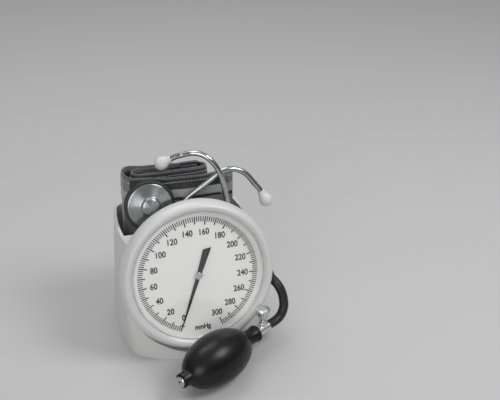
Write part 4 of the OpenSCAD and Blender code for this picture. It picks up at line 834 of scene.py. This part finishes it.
def drift(s, seed):
    """A slow sideways wander of a hem, within plus or minus one."""
    rng = np.random.default_rng(seed)
    out = np.zeros_like(s)
    for k in range(5):
        wave = rng.uniform(26, 78)
        out += np.sin(2 * math.pi * s / wave + rng.uniform(0, 6.28)) * rng.uniform(0.12, 0.32)
    return np.clip(out, -1, 1)


TOP_WANDER, FOOT_WANDER, TOP_LIFT = drift(cuff_s, 3), drift(cuff_s, 8), drift(cuff_s, 5)
shell = []
for i in range(COLS):
    end = min(1.0, 0.35 + min(cuff_s[i], cuff_len - cuff_s[i]) / 5.0)
    ring_pts = []
    for side in (1, -1):
        for z, half in zip(ROWS, HALF):
            top = max(0.0, (z - 126) / 21)
            wander = 1.25 * TOP_WANDER[i] * top + 0.6 * FOOT_WANDER[i] * max(0.0, 1 - z / 20)
            q = cuff_path[i] + cuff_out[i] * (side * half * end + wander * (0.35 if cuff_s[i] < 6 else 1))
            lift = CUFF_Z + z - (TOP_DIP[i] + 0.35 - 0.35 * TOP_LIFT[i]) * (z / CUFF_W) ** 6
            ring_pts.append((q[0], q[1], lift))
    m = len(ROWS)
    shell.append(ring_pts[:m] + ring_pts[m:][::-1])
LOOP = 2 * len(ROWS)
PLAIN, LOOPS, BOUND = 0, 1, 2  # material slots of the shell
shell = np.array(shell)
shell_faces, shell_uv, shell_mat = [], [], []
for i in range(COLS - 1):
    for k in range(LOOP):
        j = (k + 1) % LOOP
        shell_faces.append([i * LOOP + k, i * LOOP + j, (i + 1) * LOOP + j, (i + 1) * LOOP + k])
        row = min(k, LOOP - 1 - k)
        along, up = cuff_s[i], ROWS[row]
        front = k < len(ROWS)
        if row >= len(ROWS) - 3 or row <= 1:
            shell_mat.append(BOUND)
        elif front and (up < LOOPS_TOP and along < SIDE_STRIP[1] or along < EDGE_STRIP
                        or SIDE_STRIP[0] < along < SIDE_STRIP[1]):
            shell_mat.append(LOOPS)
        else:
            shell_mat.append(PLAIN)
        for c, kk in ((i, k), (i, j), (i + 1, j), (i + 1, k)):
            height_up = ROWS[min(kk, LOOP - 1 - kk)]
            shell_uv.append((cuff_s[c] * MM, (height_up if kk < len(ROWS) else -height_up) * MM))
for i, flip in ((0, True), (COLS - 1, False)):
    for k in range(len(ROWS) - 1):
        f = [i * LOOP + k, i * LOOP + k + 1, i * LOOP + LOOP - 2 - k, i * LOOP + LOOP - 1 - k]
        shell_faces.append(f[::-1] if flip else f)
        shell_mat.append(BOUND)
        shell_uv.extend([(cuff_s[i] * MM, ROWS[k] * MM)] * 4)
cuff = make("cuff_shell", shell.reshape(-1, 3), shell_faces, None, "folded_cuff",
            uv=np.array(shell_uv), mats=[cuff_cloth.mat, loop_cloth.mat, binding.mat], face_mats=shell_mat)
bm = bmesh.new()
bm.from_mesh(cuff.data)
bmesh.ops.recalc_face_normals(bm, faces=bm.faces)
bm.to_mesh(cuff.data)
bm.free()


def inflate(ob, held, room, pressure=4.0, frames=20, grow=0.02):
    """Blows a shell up as cloth. held: the pinned vertices; room: how far each may move, in millimetres."""
    group = ob.vertex_groups.new(name="held")
    group.add([int(v) for v in held], 1.0, "REPLACE")
    mod = ob.modifiers.new("cloth", "CLOTH")
    c = mod.settings
    c.quality = 5
    c.mass = 0.25
    c.tension_stiffness = c.compression_stiffness = 12
    c.shear_stiffness = 4
    c.bending_stiffness = 0.35
    c.vertex_group_mass = "held"
    c.shrink_min = -grow
    c.use_pressure = True
    c.uniform_pressure_force = pressure
    c.effector_weights.gravity = 0
    mod.collision_settings.use_collision = False
    mod.point_cache.frame_start, mod.point_cache.frame_end = 1, frames
    start = np.array([v.co[:] for v in ob.data.vertices])
    for f in range(1, frames + 1):
        SCENE.frame_set(f)
    got = ob.evaluated_get(bpy.context.evaluated_depsgraph_get()).to_mesh()
    moved = np.array([v.co[:] for v in got.vertices]) - start
    SCENE.frame_set(1)
    ob.modifiers.remove(mod)
    ob.vertex_groups.remove(group)
    far = np.linalg.norm(moved, axis=1)
    cap = np.asarray(room) * MM
    moved *= np.minimum(1, cap / np.maximum(far, 1e-9))[:, None]
    ob.data.vertices.foreach_set("co", (start + moved).ravel())
    ob.data.update()


held, room = [], []
for i in range(COLS):
    for k in range(LOOP):
        row = min(k, LOOP - 1 - k)
        front = k < len(ROWS)
        hem = row <= 3 or row >= len(ROWS) - 4
        pinned = hem or i < 2 or i > COLS - 3 or (front and abs(cuff_s[i] - FLAP_END) < 1.4)
        if pinned:
            held.append(i * LOOP + k)
        x = cuff_path[i][0]
        open_front = front and cuff_s[i] < FLAP_END
        room.append((FLAP_ROOM if x > 2 else FLAP_ROOM_LEFT) if open_front else BAND_ROOM)
inflate(cuff, held, room)
CUFF_CO = np.array([v.co[:] for v in cuff.data.vertices]).reshape(COLS, LOOP, 3) / MM


def surface(s, z, out=0.0):
    """A point of the cuff's outer face at s along the band and z up it, raised by out millimetres."""
    f = np.clip(s / cuff_len * (COLS - 1), 0, COLS - 1.001)
    i, t = int(f), f - int(f)
    g = np.interp(z, ROWS, range(len(ROWS)))
    k = min(int(g), len(ROWS) - 2)
    w = g - k
    a = (1 - t) * CUFF_CO[i, k] + t * CUFF_CO[i + 1, k]
    b = (1 - t) * CUFF_CO[i, k + 1] + t * CUFF_CO[i + 1, k + 1]
    n = (1 - t) * cuff_out[i] + t * cuff_out[i + 1]
    return (1 - w) * a + w * b + n * out


level = cuff.modifiers.new("smooth", "SUBSURF")
level.levels = level.render_levels = 1
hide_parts("cuff")


STITCH_LEN, STITCH_GAP = 2.0, 0.9


def stitches(name, line, mat, r=0.22):
    """A run of short thread stitches on the cuff's face; line gives (along, up) pairs."""
    line = even([(x, y, 0) for x, y in line], 0.5)[:, :2]
    reach = np.concatenate([[0], np.cumsum(np.linalg.norm(np.diff(line, axis=0), axis=1))])
    parts, at = [], 0.4
    while at + STITCH_LEN < reach[-1]:
        pts = []
        for f, out in ((0, -0.12), (0.18, 0.12), (0.5, 0.2), (0.82, 0.12), (1, -0.12)):
            q = [np.interp(at + STITCH_LEN * f, reach, line[:, c]) for c in (0, 1)]
            pts.append(surface(q[0], q[1], out))
        parts.append(sweep_data(pts, r, 6, normal=(0.3, 1, 0.2)))
        at += STITCH_LEN + STITCH_GAP
    pts, faces = join_data(parts)
    return make(name, pts, faces, mat, "folded_cuff", sharp=50)


stitches("flap_hem_stitches", [(4, 141.0), (88, 141.0)], thread_look.mat)
stitches("flap_end_stitches", [(3.2, 8), (3.2, 141)], thread_look.mat)
stitches("pocket_side_stitches", [(105.5, 8), (105.5, 138)], thread_look.mat, r=0.42)
stitches("roll_hem_stitches", [(96, 141.6), (cuff_len - 4, 141.6)], thread_look.mat)


TAPE_T = 0.24


def strip(name, s0, s1, z0, z1, mat, out=0.22, rows=4):
    """A thin tape or printed line laid flat on the cuff's face."""
    ss = np.linspace(s0, s1, max(2, int(abs(s1 - s0) / 2.0) + 1))
    zz = np.linspace(z0, z1, rows + 1)
    pts, faces, uv = [], [], []
    for side in (out, out - TAPE_T):
        for a in ss:
            for z in zz:
                edge = min(z - z0, z1 - z, 0.4) / 0.4
                pts.append(surface(a, z, side - (0.1 * (1 - edge) if side == out else 0)))
                uv.append((a * MM, z * MM))
    n, m = len(ss), len(zz)
    for i in range(n - 1):
        for k in range(m - 1):
            q = [i * m + k, i * m + k + 1, (i + 1) * m + k + 1, (i + 1) * m + k]
            faces.append(q)
            faces.append([n * m + v for v in q[::-1]])
    rim = [(i * m, (i + 1) * m) for i in range(n - 1)]
    rim += [((n - 1) * m + k, (n - 1) * m + k + 1) for k in range(m - 1)]
    rim += [((i + 1) * m + m - 1, i * m + m - 1) for i in range(n - 1)]
    rim += [(k + 1, k) for k in range(m - 1)]
    faces += [[a, b, b + n * m, a + n * m] for a, b in rim]
    return make(name, pts, faces, mat, "folded_cuff", sharp=50, uv=np.array(uv))


band = strip("range_band", 0.6, 112.0, 123.6, 132.6, band_cloth.mat)
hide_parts("cuff_range_band")
strip("range_line", 3.0, 62.0, 120.6, 121.5, print_black.mat, out=0.2, rows=2)
strip("range_mark", 0.6, 5.4, 118.9, 121.9, print_black.mat, out=0.3, rows=2)

SCENE.view_settings.view_transform = "Standard"
